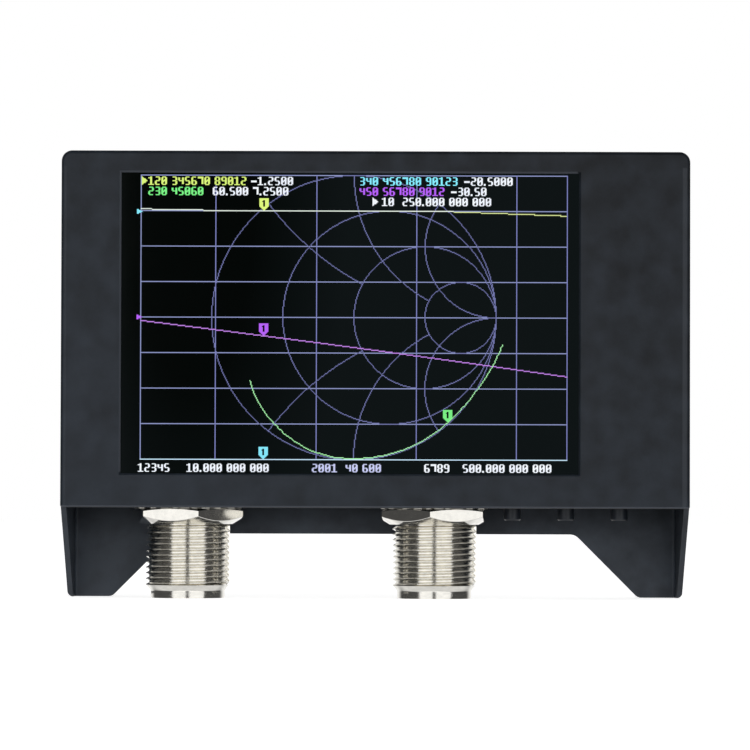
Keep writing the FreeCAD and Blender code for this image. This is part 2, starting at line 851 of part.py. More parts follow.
def power_knob():
    """The power slide at its left stop: a shoe inside the housing and a grooved post in the slot."""
    x = power_x - power_travel / 2
    low, high = power_cavity()
    shoe_depth = power_body_depth / 2 - power_body_wall - power_play
    shoe = box(x - power_shoe_length / 2, x + power_shoe_length / 2, power_y - shoe_depth, power_y + shoe_depth,
               low + power_play, high - power_play)
    top = case_top - power_post_recess
    half = power_post_length / 2
    depth = power_post_depth / 2
    post = box(x - half, x + half, power_y - depth, power_y + depth, high - power_play, top)
    grooves = []
    for shift in (-half / 2, half / 2):
        grooves.append(box(x + shift - power_groove / 2, x + shift + power_groove / 2,
                           power_y - power_body_depth, power_y + power_body_depth,
                           top - power_groove, top + cut_over))
    return shoe.fuse(post).cut(Part.makeCompound(grooves)).removeSplitter()


def usb_shell():
    """The charging socket's metal shell, closed at its inner end."""
    low = usb_mouth - usb_length
    outer = prism_z(stadium(usb_x, usb_y, usb_width, usb_height), low, usb_mouth)
    room = stadium(usb_x, usb_y, usb_width - 2 * usb_skin, usb_height - 2 * usb_skin)
    return outer.cut(prism_z(room, low + usb_skin, usb_mouth + cut_over))


def usb_tongue():
    """The contact tongue and the moulded base that carries it."""
    low = usb_mouth - usb_length + usb_skin
    room = stadium(usb_x, usb_y, usb_width - 2 * usb_skin, usb_height - 2 * usb_skin)
    base = prism_z(room, low, low + usb_base_length)
    half = usb_tongue_width / 2
    thick = usb_tongue_thickness / 2
    blade = box(usb_x - half, usb_x + half, usb_y - thick, usb_y + thick, low, usb_mouth - usb_tongue_setback)
    return base.fuse(blade).removeSplitter()


def light_pipes():
    """Clear pipes in the top, each with a collar under the wall."""
    top = case_top - pipe_recess
    low = ceiling - pipe_collar_height
    profile = [(0, low), (pipe_collar_radius, low), (pipe_collar_radius, ceiling),
               (pipe_radius, ceiling), (pipe_radius, top), (0, top)]
    return Part.makeCompound([turned(profile, V(x, lamp_y, 0), UP) for x in lamp_x])


def status_lamps():
    """Small lamps at the board's top edge, under the light pipes."""
    half = lamp_width / 2
    return Part.makeCompound([box(x - half, x + half, board_front - lamp_depth, board_front,
                                  board_high - lamp_height, board_high) for x in lamp_x])


def battery_tape():
    """Foam tape between the battery and the back wall."""
    half = battery_width / 2 - battery_tape_inset
    return box(-half, half, battery_back, case_inner_y, battery_low + battery_tape_inset,
               battery_top - battery_tape_inset)


def battery_cell():
    """The pouch cell, with the sealed terrace at its top edge."""
    half = battery_width / 2
    shape = rectangle(-half, half, battery_low, battery_top, battery_corner_radius)
    cell = prism_y(shape, battery_front, battery_back)
    cell = rounded_edges(cell, battery_edge_radius,
                         lambda p: near(p.y, battery_front) or near(p.y, battery_back))
    thick = battery_terrace_thickness / 2
    left = lead_middle_x - battery_terrace_width / 2
    terrace = box(left, left + battery_terrace_width, battery_mid_y - thick, battery_mid_y + thick,
                  battery_top - cut_over, battery_top + battery_terrace_height)
    return cell.fuse(terrace)


def battery_plug():
    """The two-way plug and socket on the back of the board."""
    half = plug_width / 2
    return box(lead_middle_x - half, lead_middle_x + half, board_back, plug_face,
               lead_top - plug_height / 2, lead_top + plug_height / 2)


def battery_leads():
    """Two leads that rise from the cell and turn forward into the plug."""
    start = battery_top + battery_terrace_height
    bend = lead_bend_radius
    leads = []
    for side in (-0.5, 0.5):
        x = lead_middle_x + side * lead_pitch
        centre_y = battery_mid_y - bend
        centre_z = lead_top - bend
        diagonal = bend * math.sqrt(0.5)
        rise = Part.LineSegment(V(x, battery_mid_y, start), V(x, battery_mid_y, centre_z)).toShape()
        turn = Part.Arc(V(x, battery_mid_y, centre_z), V(x, centre_y + diagonal, centre_z + diagonal),
                        V(x, centre_y, lead_top)).toShape()
        entry = Part.LineSegment(V(x, centre_y, lead_top), V(x, plug_face, lead_top)).toShape()
        route = [rise, turn, entry]
        ring = Part.Wire(Part.makeCircle(lead_radius, V(x, battery_mid_y, start), UP))
        leads.append(Part.Wire(route).makePipeShell([ring], True, False))
    return Part.makeCompound(leads)


def main():
    """Makes every piece and writes one file for each."""
    pieces = {
        "front_cover": front_cover(),
        "rear_case": rear_case(),
        "case_screws": case_screws(),
        "front_standoffs": front_standoffs(),
        "rear_standoffs": rear_standoffs(),
        "window_gasket": window_gasket(),
        "touch_glass": touch_glass(),
        "lcd_panel": lcd_panel(),
        "backlight_frame": backlight_frame(),
        "lcd_ribbon": lcd_ribbon(),
        "ribbon_socket": ribbon_socket(),
        "main_board": main_board(),
        "board_chips": board_chips(),
        "shield_cans": shield_cans(),
        "switch_frames": switch_frames(),
        "switch_bases": switch_bases(),
        "switch_domes": switch_domes(),
        "power_switch_body": power_switch_body(),
        "power_knob": power_knob(),
        "usb_shell": usb_shell(),
        "usb_tongue": usb_tongue(),
        "light_pipes": light_pipes(),
        "status_lamps": status_lamps(),
        "battery_tape": battery_tape(),
        "battery_cell": battery_cell(),
        "battery_plug": battery_plug(),
        "battery_leads": battery_leads(),
    }
    for number, x in enumerate(button_x, 1):
        pieces["button_%d" % number] = push_button(x)
    for number, x in port_x.items():
        pieces["port_%d_body" % number] = port_body(x)
        pieces["port_%d_insulator" % number] = port_insulator(x)
        pieces["port_%d_contact" % number] = port_contact(x)
        pieces["port_%d_nut" % number] = port_nut(x, nut_turn[number])
        pieces["port_%d_washer" % number] = port_washer(x, nut_turn[number])
    os.makedirs("parts", exist_ok=True)
    for name, shape in pieces.items():
        shape.exportStep("parts/%s.step" % name)
        print(name, len(shape.Solids), round(shape.Volume, 1), "valid" if shape.isValid() else "NOT VALID")


main()
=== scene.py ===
"""Antenna analyzer: finishes, threaded ports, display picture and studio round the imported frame.

Everything is in metres, in the frame's own coordinates: X to the right, Y to the back, Z up.
"""

import math

import bmesh
import bpy
import numpy as np
from bpy.props import FloatProperty, FloatVectorProperty, IntProperty, PointerProperty
from mathutils import Matrix, Vector


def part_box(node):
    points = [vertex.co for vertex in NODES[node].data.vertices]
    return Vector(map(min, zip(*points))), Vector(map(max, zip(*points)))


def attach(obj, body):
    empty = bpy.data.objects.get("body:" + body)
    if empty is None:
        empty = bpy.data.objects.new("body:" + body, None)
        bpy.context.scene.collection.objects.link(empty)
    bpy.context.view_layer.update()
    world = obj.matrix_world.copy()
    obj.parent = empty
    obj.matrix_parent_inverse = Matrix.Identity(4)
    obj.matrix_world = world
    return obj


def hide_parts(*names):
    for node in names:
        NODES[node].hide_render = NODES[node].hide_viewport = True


bl_info = {
    "name": "Antenna analyzer",
    "version": (1, 0, 0),
    "blender": (4, 5, 0),
    "location": "View3D > Sidebar > Analyzer",
    "description": "Builds the looks of an antenna analyzer round its frame",
    "category": "Object",
}

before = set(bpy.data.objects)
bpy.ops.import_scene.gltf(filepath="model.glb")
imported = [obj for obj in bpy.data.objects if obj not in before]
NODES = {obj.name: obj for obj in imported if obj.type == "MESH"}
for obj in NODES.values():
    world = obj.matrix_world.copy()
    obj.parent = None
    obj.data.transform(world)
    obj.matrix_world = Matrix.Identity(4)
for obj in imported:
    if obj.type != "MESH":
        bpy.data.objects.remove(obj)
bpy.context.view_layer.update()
MM = 0.001
CASE = "case"

COVER_LOW, COVER_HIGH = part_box("front_cover")
GLASS_LOW, GLASS_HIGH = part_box("touch_glass")
PORTS = (1, 2)

# Gaps from the glass's edges to the window's, which the picture also starts from
PICTURE_MARGIN_LEFT = 1.7 * MM
PICTURE_MARGIN_TOP = 1.5 * MM
WINDOW_MARGIN_RIGHT = 5.6 * MM


def port_axis(number):
    """Place of a port's axis in width and depth, from its shell's box."""
    low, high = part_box("port_%d_body" % number)
    return (low.x + high.x) / 2, 0.0


# Properties that a user would change


class CoatProperties(bpy.types.PropertyGroup):
    """Powder coat of the case."""
    colour: FloatVectorProperty(
        name="Coat colour", description="Base colour of the powder coat", subtype="COLOR",
        size=3, min=0.0, max=1.0, default=(0.0080, 0.0110, 0.0157))
    # Painted highlight colour: laid on the cover's foot, on lines near its sides and on the window's top
    # and left bevel
    edge: FloatVectorProperty(
        name="Edge colour", description="Colour of the painted highlights on the cover's edges and window bevel",
        subtype="COLOR", size=3, min=0.0, max=1.0, default=(0.040, 0.045, 0.055))
    gloss: FloatProperty(
        name="Gloss", description="Specular level of the coat", min=0.0, max=1.0, default=0.24)
    roughness: FloatProperty(
        name="Roughness", description="How matte the coat is", min=0.0, max=1.0, default=0.45)
    grain: FloatProperty(
        name="Grain size", description="Size of the coat's fine texture", unit="LENGTH",
        default=0.35 * MM)
    relief: FloatProperty(
        name="Relief", description="Height of the coat's fine texture", unit="LENGTH",
        default=0.010 * MM)


class PortProperties(bpy.types.PropertyGroup):
    """Turned and threaded shells of the ports."""
    pitch: FloatProperty(
        name="Thread pitch", description="Distance between two crests", unit="LENGTH",
        default=1.0583 * MM)
    crest: FloatProperty(
        name="Crest flat", description="Flat on top of a crest", unit="LENGTH",
        default=0.10 * MM)
    root: FloatProperty(
        name="Root flat", description="Flat at the bottom of a groove", unit="LENGTH",
        default=0.22 * MM)
    segments: IntProperty(
        name="Segments", description="Steps round a port", min=24, max=512, default=144)
    nickel: FloatVectorProperty(
        name="Nickel", description="Colour of the nickel plate", subtype="COLOR",
        size=3, min=0.0, max=1.0, default=(0.86, 0.84, 0.785))
    roughness: FloatProperty(
        name="Nickel roughness", description="Roughness of the nickel plate", min=0.0, max=1.0,
        default=0.16)


class DisplayProperties(bpy.types.PropertyGroup):
    """Picture on the display, drawn in its own square cells."""
    cell: FloatProperty(
        name="Cell", description="Side of one picture cell", unit="LENGTH", default=0.174 * MM)
    columns: IntProperty(name="Columns", description="Picture cells across", default=480)
    rows: IntProperty(name="Rows", description="Picture cells from top to bottom", default=320)
    glow: FloatProperty(
        name="Glow", description="Strength of the lit cells", min=0.0, default=1.0)


class StudioProperties(bpy.types.PropertyGroup):
    """Floor, lamps, world and camera."""
    distance: FloatProperty(
        name="Camera distance", description="From the camera to the middle of the object",
        unit="LENGTH", default=907.7 * MM)
    lens: FloatProperty(name="Focal length", description="In millimetres", default=230.7)
    ambient: FloatProperty(
        name="Ambient", description="Strength of the light from all round", min=0.0, default=0.4)
    fill: FloatProperty(
        name="Fill power", description="Power of the low lamp in front in watts", min=0.0, default=16.0)
    key: FloatProperty(
        name="Softbox power", description="Power of each softbox in watts", min=0.0, default=15.7)


# Meshes from arrays


WELD = 0.0002 * MM
SHARP_EDGE = math.radians(32)
HEXAGON_EDGE = math.radians(25)
BOX_FACES = ((0, 1, 5, 4), (1, 3, 7, 5), (3, 2, 6, 7), (2, 0, 4, 6), (4, 5, 7, 6), (0, 2, 3, 1))


def mesh_piece(name, points, faces, material, sharp=SHARP_EDGE, weld=None):
    """A piece of the case's body from arrays of points and faces, with its normals outward.

    Points closer than weld become one, and edges that turn by more than sharp look sharp.
    """
    mesh = bpy.data.meshes.new(name)
    mesh.from_pydata(np.asarray(points, float).reshape(-1, 3), [], np.asarray(faces, int))
    work = bmesh.new()
    work.from_mesh(mesh)
    if weld:
        bmesh.ops.remove_doubles(work, verts=work.verts, dist=weld)
    bmesh.ops.recalc_face_normals(work, faces=work.faces)
    work.to_mesh(mesh)
    work.free()
    mesh.polygons.foreach_set("use_smooth", np.ones(len(mesh.polygons), bool))
    mesh.set_sharp_from_angle(angle=sharp)
    mesh.materials.append(material)
    piece = bpy.data.objects.new(name, mesh)
    bpy.context.scene.collection.objects.link(piece)
    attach(piece, CASE)
    return piece


def ring_faces(rows, steps):
    """Four-cornered faces of a grid of points, rows by steps, closed both ways."""
    row, step = np.meshgrid(np.arange(rows), np.arange(steps), indexing="ij")
    next_row = (row + 1) % rows
    next_step = (step + 1) % steps
    corners = (row * steps + step, row * steps + next_step, next_row * steps + next_step,
               next_row * steps + step)
    return np.stack(corners, axis=-1).reshape(-1, 4)


def turned_points(radius, height, angle, centre):
    """Points at radius and height round an upright axis: x = r cos a, y = r sin a, z = h."""
    x = centre[0] + radius * np.cos(angle)
    y = centre[1] + radius * np.sin(angle)
    return np.stack((x, y, height + 0 * angle), axis=-1)


def boxes(lows, highs):
    """Points and faces of many upright boxes at once, from their low and high corners."""
    lows = np.asarray(lows, float)
    highs = np.asarray(highs, float)
    pick = np.array([(i, j, k) for k in (0, 1) for j in (0, 1) for i in (0, 1)], bool)
    points = np.where(pick[None], highs[:, None], lows[:, None]).reshape(-1, 3)
    first = len(pick) * np.arange(len(lows))
    faces = (np.array(BOX_FACES)[None] + first[:, None, None]).reshape(-1, 4)
    return points, faces


# Materials


SPECULAR = 0.5
EVEN = (1.0, 1.0, 1.0)
NOISE_DETAIL = 3.0
NOISE_SPAN = (0.3, 0.7)
SHADE_SPAN = (0.35, 0.65)

# The coat's clouds, the painted light that makes its tone lighter towards the cover's low left and darker
# towards its top right, and the painted light that lightens it below the cover
GRAIN_DETAIL = 2.0
CLOUD_SIZE = 4 * MM
CLOUD_DETAIL = 5.0
CLOUD_SHADES = (0.46, 1.54)
CLOUD_SPAN = (0.2, 0.8)
PAINTED_LIGHT_TOWARDS = (-0.5, 0.0, -1.0)
PAINTED_LIGHT_REACH = 70 * MM
PAINTED_LIGHT_AMOUNT = 0.22
FADE_HEIGHT = 20 * MM
COAT_ROUGHNESS_SPREAD = 0.06

# Shares that darken and lighten a finish's colour, and what its roughness varies by
PLATE_SHADES = (0.93, 1.04)
PLATE_ROUGHNESS_SHARES = (0.8, 1.3)
MOULDED_SHADES = (0.9, 1.1)
MOULDED_ROUGHNESS_SPREAD = 0.05
CLEAR_SHADES = (0.995, 1.0)
CLEAR_ROUGHNESS_SHARES = (0.8, 1.2)
SMEAR_SIZE = 14 * MM
SMEAR_STRETCH = (1.0, 1.0, 2.5)

# The display's glass and the cells that lie on it
GLASS_ROUGHNESS = 0.04
GLASS_ROUGHNESS_SHARES = (0.7, 1.3)
GLASS_GLOSS = 0.25
GLASS_DARK = (0.0001, 0.0009, 0.0006)
GLASS_LIGHT = (0.0035, 0.0058, 0.0063)
DARK_FROM_LEFT = 14.6 * MM
DARK_FROM_TOP = 10 * MM
DARK_REACH = (29 * MM, 29 * MM, 75 * MM)
DARK_SPAN = (0.0, 0.6)
PATCH_SIZE = 6 * MM
PATCH_DETAIL = 2.0
PATCH_SHADES = (0.94, 1.05)


def material_base(name, roughness, metallic=0.0, specular=SPECULAR):
    """A material with its tree, its shader and a texture coordinate node."""
    material = bpy.data.materials.new(name)
    material.use_nodes = True
    tree = material.node_tree
    shader = tree.nodes["Principled BSDF"]
    shader.inputs["Roughness"].default_value = roughness
    shader.inputs["Metallic"].default_value = metallic
    shader.inputs["Specular IOR Level"].default_value = specular
    place = tree.nodes.new("ShaderNodeTexCoord")
    return material, tree, shader, place


def feed(tree, value, socket):
    """Gives a socket its value, which is another socket or a number."""
    if isinstance(value, bpy.types.NodeSocket):
        tree.links.new(value, socket)
    else:
        socket.default_value = value


def reckon(tree, operation, *values):
    """The result of a sum on values, each a socket or a number."""
    node = tree.nodes.new("ShaderNodeMath")
    node.operation = operation
    for value, socket in zip(values, node.inputs):
        feed(tree, value, socket)
    return node.outputs[0]


def between(tree, value, start, end, low, high, kind="LINEAR"):
    """A value that goes from low to high as another one goes from start to end."""
    node = tree.nodes.new("ShaderNodeMapRange")
    node.interpolation_type = kind
    node.inputs["From Min"].default_value = start
    node.inputs["From Max"].default_value = end
    node.inputs["To Min"].default_value = low
    node.inputs["To Max"].default_value = high
    tree.links.new(value, node.inputs["Value"])
    return node.outputs["Result"]


def blend(tree, factor, first, second, kind="MIX"):
    """A colour that goes from the first to the second, or to their product, with the factor."""
    node = tree.nodes.new("ShaderNodeMix")
    node.data_type = "RGBA"
    node.blend_type = kind
    tree.links.new(factor, node.inputs["Factor"])
    socket_a, socket_b = (socket for socket in node.inputs if socket.type == "RGBA")
    tree.links.new(first, socket_a)
    socket_b.default_value = (*second, 1.0)
    return next(socket for socket in node.outputs if socket.type == "RGBA")


def weigh(tree, factor, first, second):
    """A number that goes from the first to the second with the factor."""
    node = tree.nodes.new("ShaderNodeMix")
    for value, name in ((factor, "Factor"), (first, "A"), (second, "B")):
        feed(tree, value, node.inputs[name])
    return node.outputs["Result"]


def axes(tree, vector):
    """The X, Y and Z of a vector, as outputs that are looked up by name."""
    node = tree.nodes.new("ShaderNodeSeparateXYZ")
    tree.links.new(vector, node.inputs[0])
    return node.outputs


def noise(tree, place, size, detail=NOISE_DETAIL, stretch=EVEN):
    """Noise whose features are about size metres wide, drawn out along the axes by stretch."""
    mapping = tree.nodes.new("ShaderNodeMapping")
    mapping.inputs["Scale"].default_value = [1 / (size * s) for s in stretch]
    tree.links.new(place.outputs["Object"], mapping.inputs["Vector"])
    texture = tree.nodes.new("ShaderNodeTexNoise")
    texture.inputs["Scale"].default_value = 1.0
    texture.inputs["Detail"].default_value = detail
    tree.links.new(mapping.outputs["Vector"], texture.inputs["Vector"])
    return texture.outputs["Fac"]


def ramp(tree, factor, low, high, start=0.0, end=1.0):
    """A colour that goes from low to high as the factor goes from start to end."""
    node = tree.nodes.new("ShaderNodeValToRGB")
    node.color_ramp.elements[0].position = start
    node.color_ramp.elements[1].position = end
    node.color_ramp.elements[0].color = (*low, 1.0)
    node.color_ramp.elements[1].color = (*high, 1.0)
    tree.links.new(factor, node.inputs["Fac"])
    return node.outputs["Color"]


def bump(tree, shader, height, distance):
    """Relief on the shader from a height between 0 and 1."""
    node = tree.nodes.new("ShaderNodeBump")
    node.inputs["Strength"].default_value = 1.0
    node.inputs["Distance"].default_value = distance
    tree.links.new(height, node.inputs["Height"])
    tree.links.new(node.outputs["Normal"], shader.inputs["Normal"])


def shades(colour, low, high):
    """A colour made darker and lighter by two factors."""
    return [c * low for c in colour], [min(1.0, c * high) for c in colour]


def tint(tree, shader, texture, colour, shares, span=SHADE_SPAN, socket="Base Color"):
    """Makes a colour of the shader go from dark to light with a texture."""
    tree.links.new(ramp(tree, texture, *shades(colour, *shares), *span), shader.inputs[socket])


def roughen(tree, shader, texture, low, high):
    """Makes the shader's roughness go from low to high with a texture."""
    tree.links.new(between(tree, texture, *NOISE_SPAN, low, high), shader.inputs["Roughness"])


def within(tree, place, low, high, strength):
    """The strength where width and height lie between low and high, both (width, height), else 0."""
    share = strength
    split = axes(tree, place.outputs["Object"])
    for axis, start, end in (("X", low[0], high[0]), ("Z", low[1], high[1])):
        near = reckon(tree, "COMPARE", split[axis], (start + end) / 2, (end - start) / 2)
        share = reckon(tree, "MULTIPLY", near, share)
    return share


def painted_light_slope(tree, place):
    """Painted light: a share that is 0 at the cover's middle and grows towards its low left, so the coat is
    painted lighter there and darker towards its top right.
    """
    along = tree.nodes.new("ShaderNodeVectorMath")
    along.operation = "DOT_PRODUCT"
    along.inputs[1].default_value = PAINTED_LIGHT_TOWARDS
    tree.links.new(place.outputs["Object"], along.inputs[0])
    middle = Vector(PAINTED_LIGHT_TOWARDS).dot((COVER_LOW + COVER_HIGH) / 2)
    return between(tree, along.outputs["Value"], middle - PAINTED_LIGHT_REACH, middle + PAINTED_LIGHT_REACH,
                   -PAINTED_LIGHT_AMOUNT, PAINTED_LIGHT_AMOUNT)


def painted_light_below_cover(tree, place, colour, shares):
    """Painted light: a colour times its shares below the cover, which paints the rear case's recess and
    feet lighter, and as it is from FADE_HEIGHT above that.
    """
    height = axes(tree, place.outputs["Object"])["Z"]
    low = between(tree, height, COVER_LOW.z, COVER_LOW.z + FADE_HEIGHT, 1.0, 0.0, "SMOOTHSTEP")
    return blend(tree, low, colour, shares, "MULTIPLY")


def powder_coat(name, coat, shares=EVEN, highlights=()):
    """Matte powder coat: fine grain in relief, clouds in colour, and painted light that makes it a little
    lighter low on the left.

    The shares paint light onto its tone below the cover, and each painted highlight patch is a low and a
    high corner in width and height, and how strongly the highlight colour covers it.
    """
    material, tree, shader, place = material_base(name, coat.roughness, specular=coat.gloss)
    grain = noise(tree, place, coat.grain, GRAIN_DETAIL)
    # Painted light: the slope towards the low left is added to the clouds before they pick the colour
    clouds = reckon(tree, "ADD", noise(tree, place, CLOUD_SIZE, CLOUD_DETAIL), painted_light_slope(tree, place))
    colour = ramp(tree, clouds, *shades(coat.colour, *CLOUD_SHADES), *CLOUD_SPAN)
    # Painted light below the cover, by the shares
    colour = painted_light_below_cover(tree, place, colour, shares)
    # Each patch paints the highlight colour over the coat
    for patch in highlights:
        colour = blend(tree, within(tree, place, *patch), colour, coat.edge)
    tree.links.new(colour, shader.inputs["Base Color"])
    roughen(tree, shader, grain, coat.roughness - COAT_ROUGHNESS_SPREAD,
            coat.roughness + COAT_ROUGHNESS_SPREAD)
    bump(tree, shader, grain, coat.relief)
    return material


def plated(name, colour, roughness, streak=EVEN, size=0.8 * MM, relief=0.001 * MM):
    """Bright plate over turned or stamped metal, with faint streaks in tint and roughness."""
    material, tree, shader, place = material_base(name, roughness, metallic=1.0)
    streaks = noise(tree, place, size, stretch=streak)
    tint(tree, shader, streaks, colour, PLATE_SHADES)
    roughen(tree, shader, streaks, *(roughness * share for share in PLATE_ROUGHNESS_SHARES))
    bump(tree, shader, streaks, relief)
    return material


def moulded(name, colour, roughness=0.45, size=0.6 * MM, relief=0.004 * MM, specular=SPECULAR):
    """Moulded plastic, rubber or board: fine texture in relief, faint clouds in colour."""
    material, tree, shader, place = material_base(name, roughness, specular=specular)
    texture = noise(tree, place, size)
    tint(tree, shader, texture, colour, MOULDED_SHADES)
    roughen(tree, shader, texture, roughness - MOULDED_ROUGHNESS_SPREAD,
            roughness + MOULDED_ROUGHNESS_SPREAD)
    bump(tree, shader, texture, relief)
    return material


def clear(name, colour, roughness, ior):
    """Clear plastic, with faint smears in its tint and roughness."""
    material, tree, shader, place = material_base(name, roughness)
    shader.inputs["Transmission Weight"].default_value = 1.0
    shader.inputs["IOR"].default_value = ior
    smears = noise(tree, place, SMEAR_SIZE, stretch=SMEAR_STRETCH)
    tint(tree, shader, smears, colour, CLEAR_SHADES, (0.0, 1.0))
    roughen(tree, shader, smears, *(roughness * share for share in CLEAR_ROUGHNESS_SHARES))
    return material


def glowing(name, strength):
    """A black, glossy surface like the display's glass, ready for a colour that glows."""
    material, tree, shader, place = material_base(name, GLASS_ROUGHNESS, specular=GLASS_GLOSS)
    shader.inputs["Base Color"].default_value = (0.0, 0.0, 0.0, 1.0)
    shader.inputs["Emission Strength"].default_value = strength
    return material, tree, shader, place


def lit(name, colour, glow):
    """Lit picture cells: the colour glows, with the faint unevenness of a backlight."""
    material, tree, shader, place = glowing(name, glow)
    patches = noise(tree, place, PATCH_SIZE, PATCH_DETAIL)
    tint(tree, shader, patches, colour, PATCH_SHADES, NOISE_SPAN, "Emission Color")
    return material


def black_glass(name):
    """Glossy glass over the unlit panel: its faint glow falls from light to dark round one place."""
    material, tree, shader, place = glowing(name, 1.0)
    centre = (GLASS_LOW.x + DARK_FROM_LEFT, GLASS_LOW.y, GLASS_HIGH.z - DARK_FROM_TOP)
    mapping = tree.nodes.new("ShaderNodeMapping")
    mapping.inputs["Location"].default_value = [-c / r for c, r in zip(centre, DARK_REACH)]
    mapping.inputs["Scale"].default_value = [1 / r for r in DARK_REACH]
    tree.links.new(place.outputs["Object"], mapping.inputs["Vector"])
    ball = tree.nodes.new("ShaderNodeTexGradient")
    ball.gradient_type = "SPHERICAL"
    tree.links.new(mapping.outputs["Vector"], ball.inputs["Vector"])
    glow = ramp(tree, ball.outputs["Fac"], GLASS_LIGHT, GLASS_DARK, *DARK_SPAN)
    tree.links.new(glow, shader.inputs["Emission Color"])
    smears = noise(tree, place, SMEAR_SIZE, stretch=SMEAR_STRETCH)
    roughen(tree, shader, smears, *(GLASS_ROUGHNESS * share for share in GLASS_ROUGHNESS_SHARES))
    return material


def dress(material, *names):
    """Gives CAD nodes a material in their slots."""
    for name in names:
        node = NODES[name]
        if not node.material_slots:
            node.data.materials.append(material)
        for slot in node.material_slots:
            slot.material = material


def dress_all(rows):
    """Makes a material for each row of name, finish, its settings and the nodes that wear it."""
    for name, finish, settings, nodes in rows:
        dress(finish(name, **settings), *nodes)


# Case and display


# Places and strengths of the painted highlights on the cover: the window bevel's width, the foot's line,
# the lines near either side and where they stop below the top
BEVEL = 0.3 * MM
FOOT_HIGHLIGHT = (0.05 * MM, 0.35 * MM)
LEFT_HIGHLIGHT = (0.4 * MM, 1.0 * MM)
RIGHT_HIGHLIGHT = (1.45 * MM, 0.65 * MM)
HIGHLIGHT_END = 3 * MM
LEFT_HIGHLIGHT_SHARE = 0.15
RIGHT_HIGHLIGHT_SHARE = 0.28
# Shares that paint light onto the rear case below the cover, lighting its recess and feet
REAR_PAINTED_LIGHT_SHARES = (2.5, 2.25, 2.05)

BLACK_OXIDE = dict(colour=(0.06, 0.06, 0.062), roughness=0.42)
DISPLAY_FINISHES = (
    ("dark_panel", moulded, dict(colour=(0.012, 0.012, 0.014), roughness=0.3), ("lcd_panel",)),
    ("white_tray", moulded, dict(colour=(0.78, 0.78, 0.76)), ("backlight_frame",)),
    ("black_foam", moulded, dict(colour=(0.02, 0.02, 0.021), roughness=0.8, size=0.4 * MM,
                                 relief=0.05 * MM), ("window_gasket",)),
)


def painted_highlight_patches():
    """Painted highlights on the cover: the window's bevel at its top and left, a line along the foot, and
    one near either side.
    """
    foot = COVER_LOW.z + FOOT_HIGHLIGHT[1]
    top = COVER_HIGH.z - HIGHLIGHT_END
    return (
        ((GLASS_LOW.x + PICTURE_MARGIN_LEFT - BEVEL, GLASS_LOW.z + PICTURE_MARGIN_TOP + BEVEL),
         (GLASS_HIGH.x - WINDOW_MARGIN_RIGHT - BEVEL, GLASS_HIGH.z - PICTURE_MARGIN_TOP + BEVEL), 1.0),
        ((COVER_LOW.x, COVER_LOW.z + FOOT_HIGHLIGHT[0]), (COVER_HIGH.x, foot), 1.0),
        ((COVER_LOW.x + LEFT_HIGHLIGHT[0], foot), (COVER_LOW.x + LEFT_HIGHLIGHT[1], top), LEFT_HIGHLIGHT_SHARE),
        ((COVER_HIGH.x - RIGHT_HIGHLIGHT[0], foot), (COVER_HIGH.x - RIGHT_HIGHLIGHT[1], top), RIGHT_HIGHLIGHT_SHARE),
    )


class ANALYZER_OT_case(bpy.types.Operator):
    """Coats the two shells of the case, with painted highlights on the cover and painted light on the rear
    case below it, and blackens its screws
    """
    bl_idname = "analyzer.case"
    bl_label = "Case"

    def execute(self, context):
        coat = context.scene.analyzer_coat
        dress(powder_coat("cover_coat", coat, highlights=painted_highlight_patches()), "front_cover")
        # The rear case's coat has painted light below the cover
        dress(powder_coat("case_coat", coat, REAR_PAINTED_LIGHT_SHARES), "rear_case")
        dress(plated("black_oxide", **BLACK_OXIDE), "case_screws")
        return {"FINISHED"}


class ANALYZER_OT_display(bpy.types.Operator):
    """Finishes the display's glass, panel, backlight and gasket"""
    bl_idname = "analyzer.display"
    bl_label = "Display"

    def execute(self, context):
        dress(black_glass("cover_glass"), "touch_glass")
        dress_all(DISPLAY_FINISHES)
        return {"FINISHED"}


# Display picture


# Places on the display are columns from its left and rows from its top, in picture cells
GRID_LEFT = 21
GRID_TOP = 2
GRID_WIDTH = 456
GRID_HEIGHT = 304
GRID_RIGHT = GRID_LEFT + GRID_WIDTH
GRID_BOTTOM = GRID_TOP + GRID_HEIGHT
GRID_ROWS = 8
SWEEP_LOW = 50.0
SWEEP_HIGH = 900.0
SWEEP_STEP = 200.0

# The round chart, its circles of resistance and its arcs of reactance with where they stop
CHART_COLUMN = GRID_LEFT + GRID_WIDTH / 2
CHART_ROW = GRID_TOP + GRID_HEIGHT / 2
CHART_RADIUS = GRID_HEIGHT / 2
RESISTANCES = (0.0, 1 / 3, 1.0, 3.0)
REACTANCES = ((0.5, 1.0), (1.0, 3.0), (2.0, None))
CIRCLE_STEPS = 3000

# The upper trace: its first row, its fall to a level row, and its droop past a share of the width
TRACE_STEPS = 2000
UPPER_START = 38.79
UPPER_FALL = 8.3
UPPER_ROW = 40
DROOP = 16
DROOP_START = 0.6725
PALE_END = 0.735

# The slanted trace: its first row, its fall over the width and how far it sags in the middle
SLANT_START = 157.7
SLANT_FALL = 59.2
SLANT_SAG = 1.2

# The chart's arc: the angles of its places from the right end downwards in degrees, its distance
# from the middle in chart radii, and what either end adds: first angle, span, amount and power
ARC_ANGLES = (10.0, 149.3)
ARC_PLACES = 101
ARC_STEPS = 4000
ARC_REACH = 0.985
ARC_ROW = 1.2
ARC_START = (47, 37, 0.077, 2)
ARC_END = (100, 49, -0.132, 1.4)

PICTURE_OVERLAP_LEFT = 0.11 * MM
LAYER = 0.002 * MM

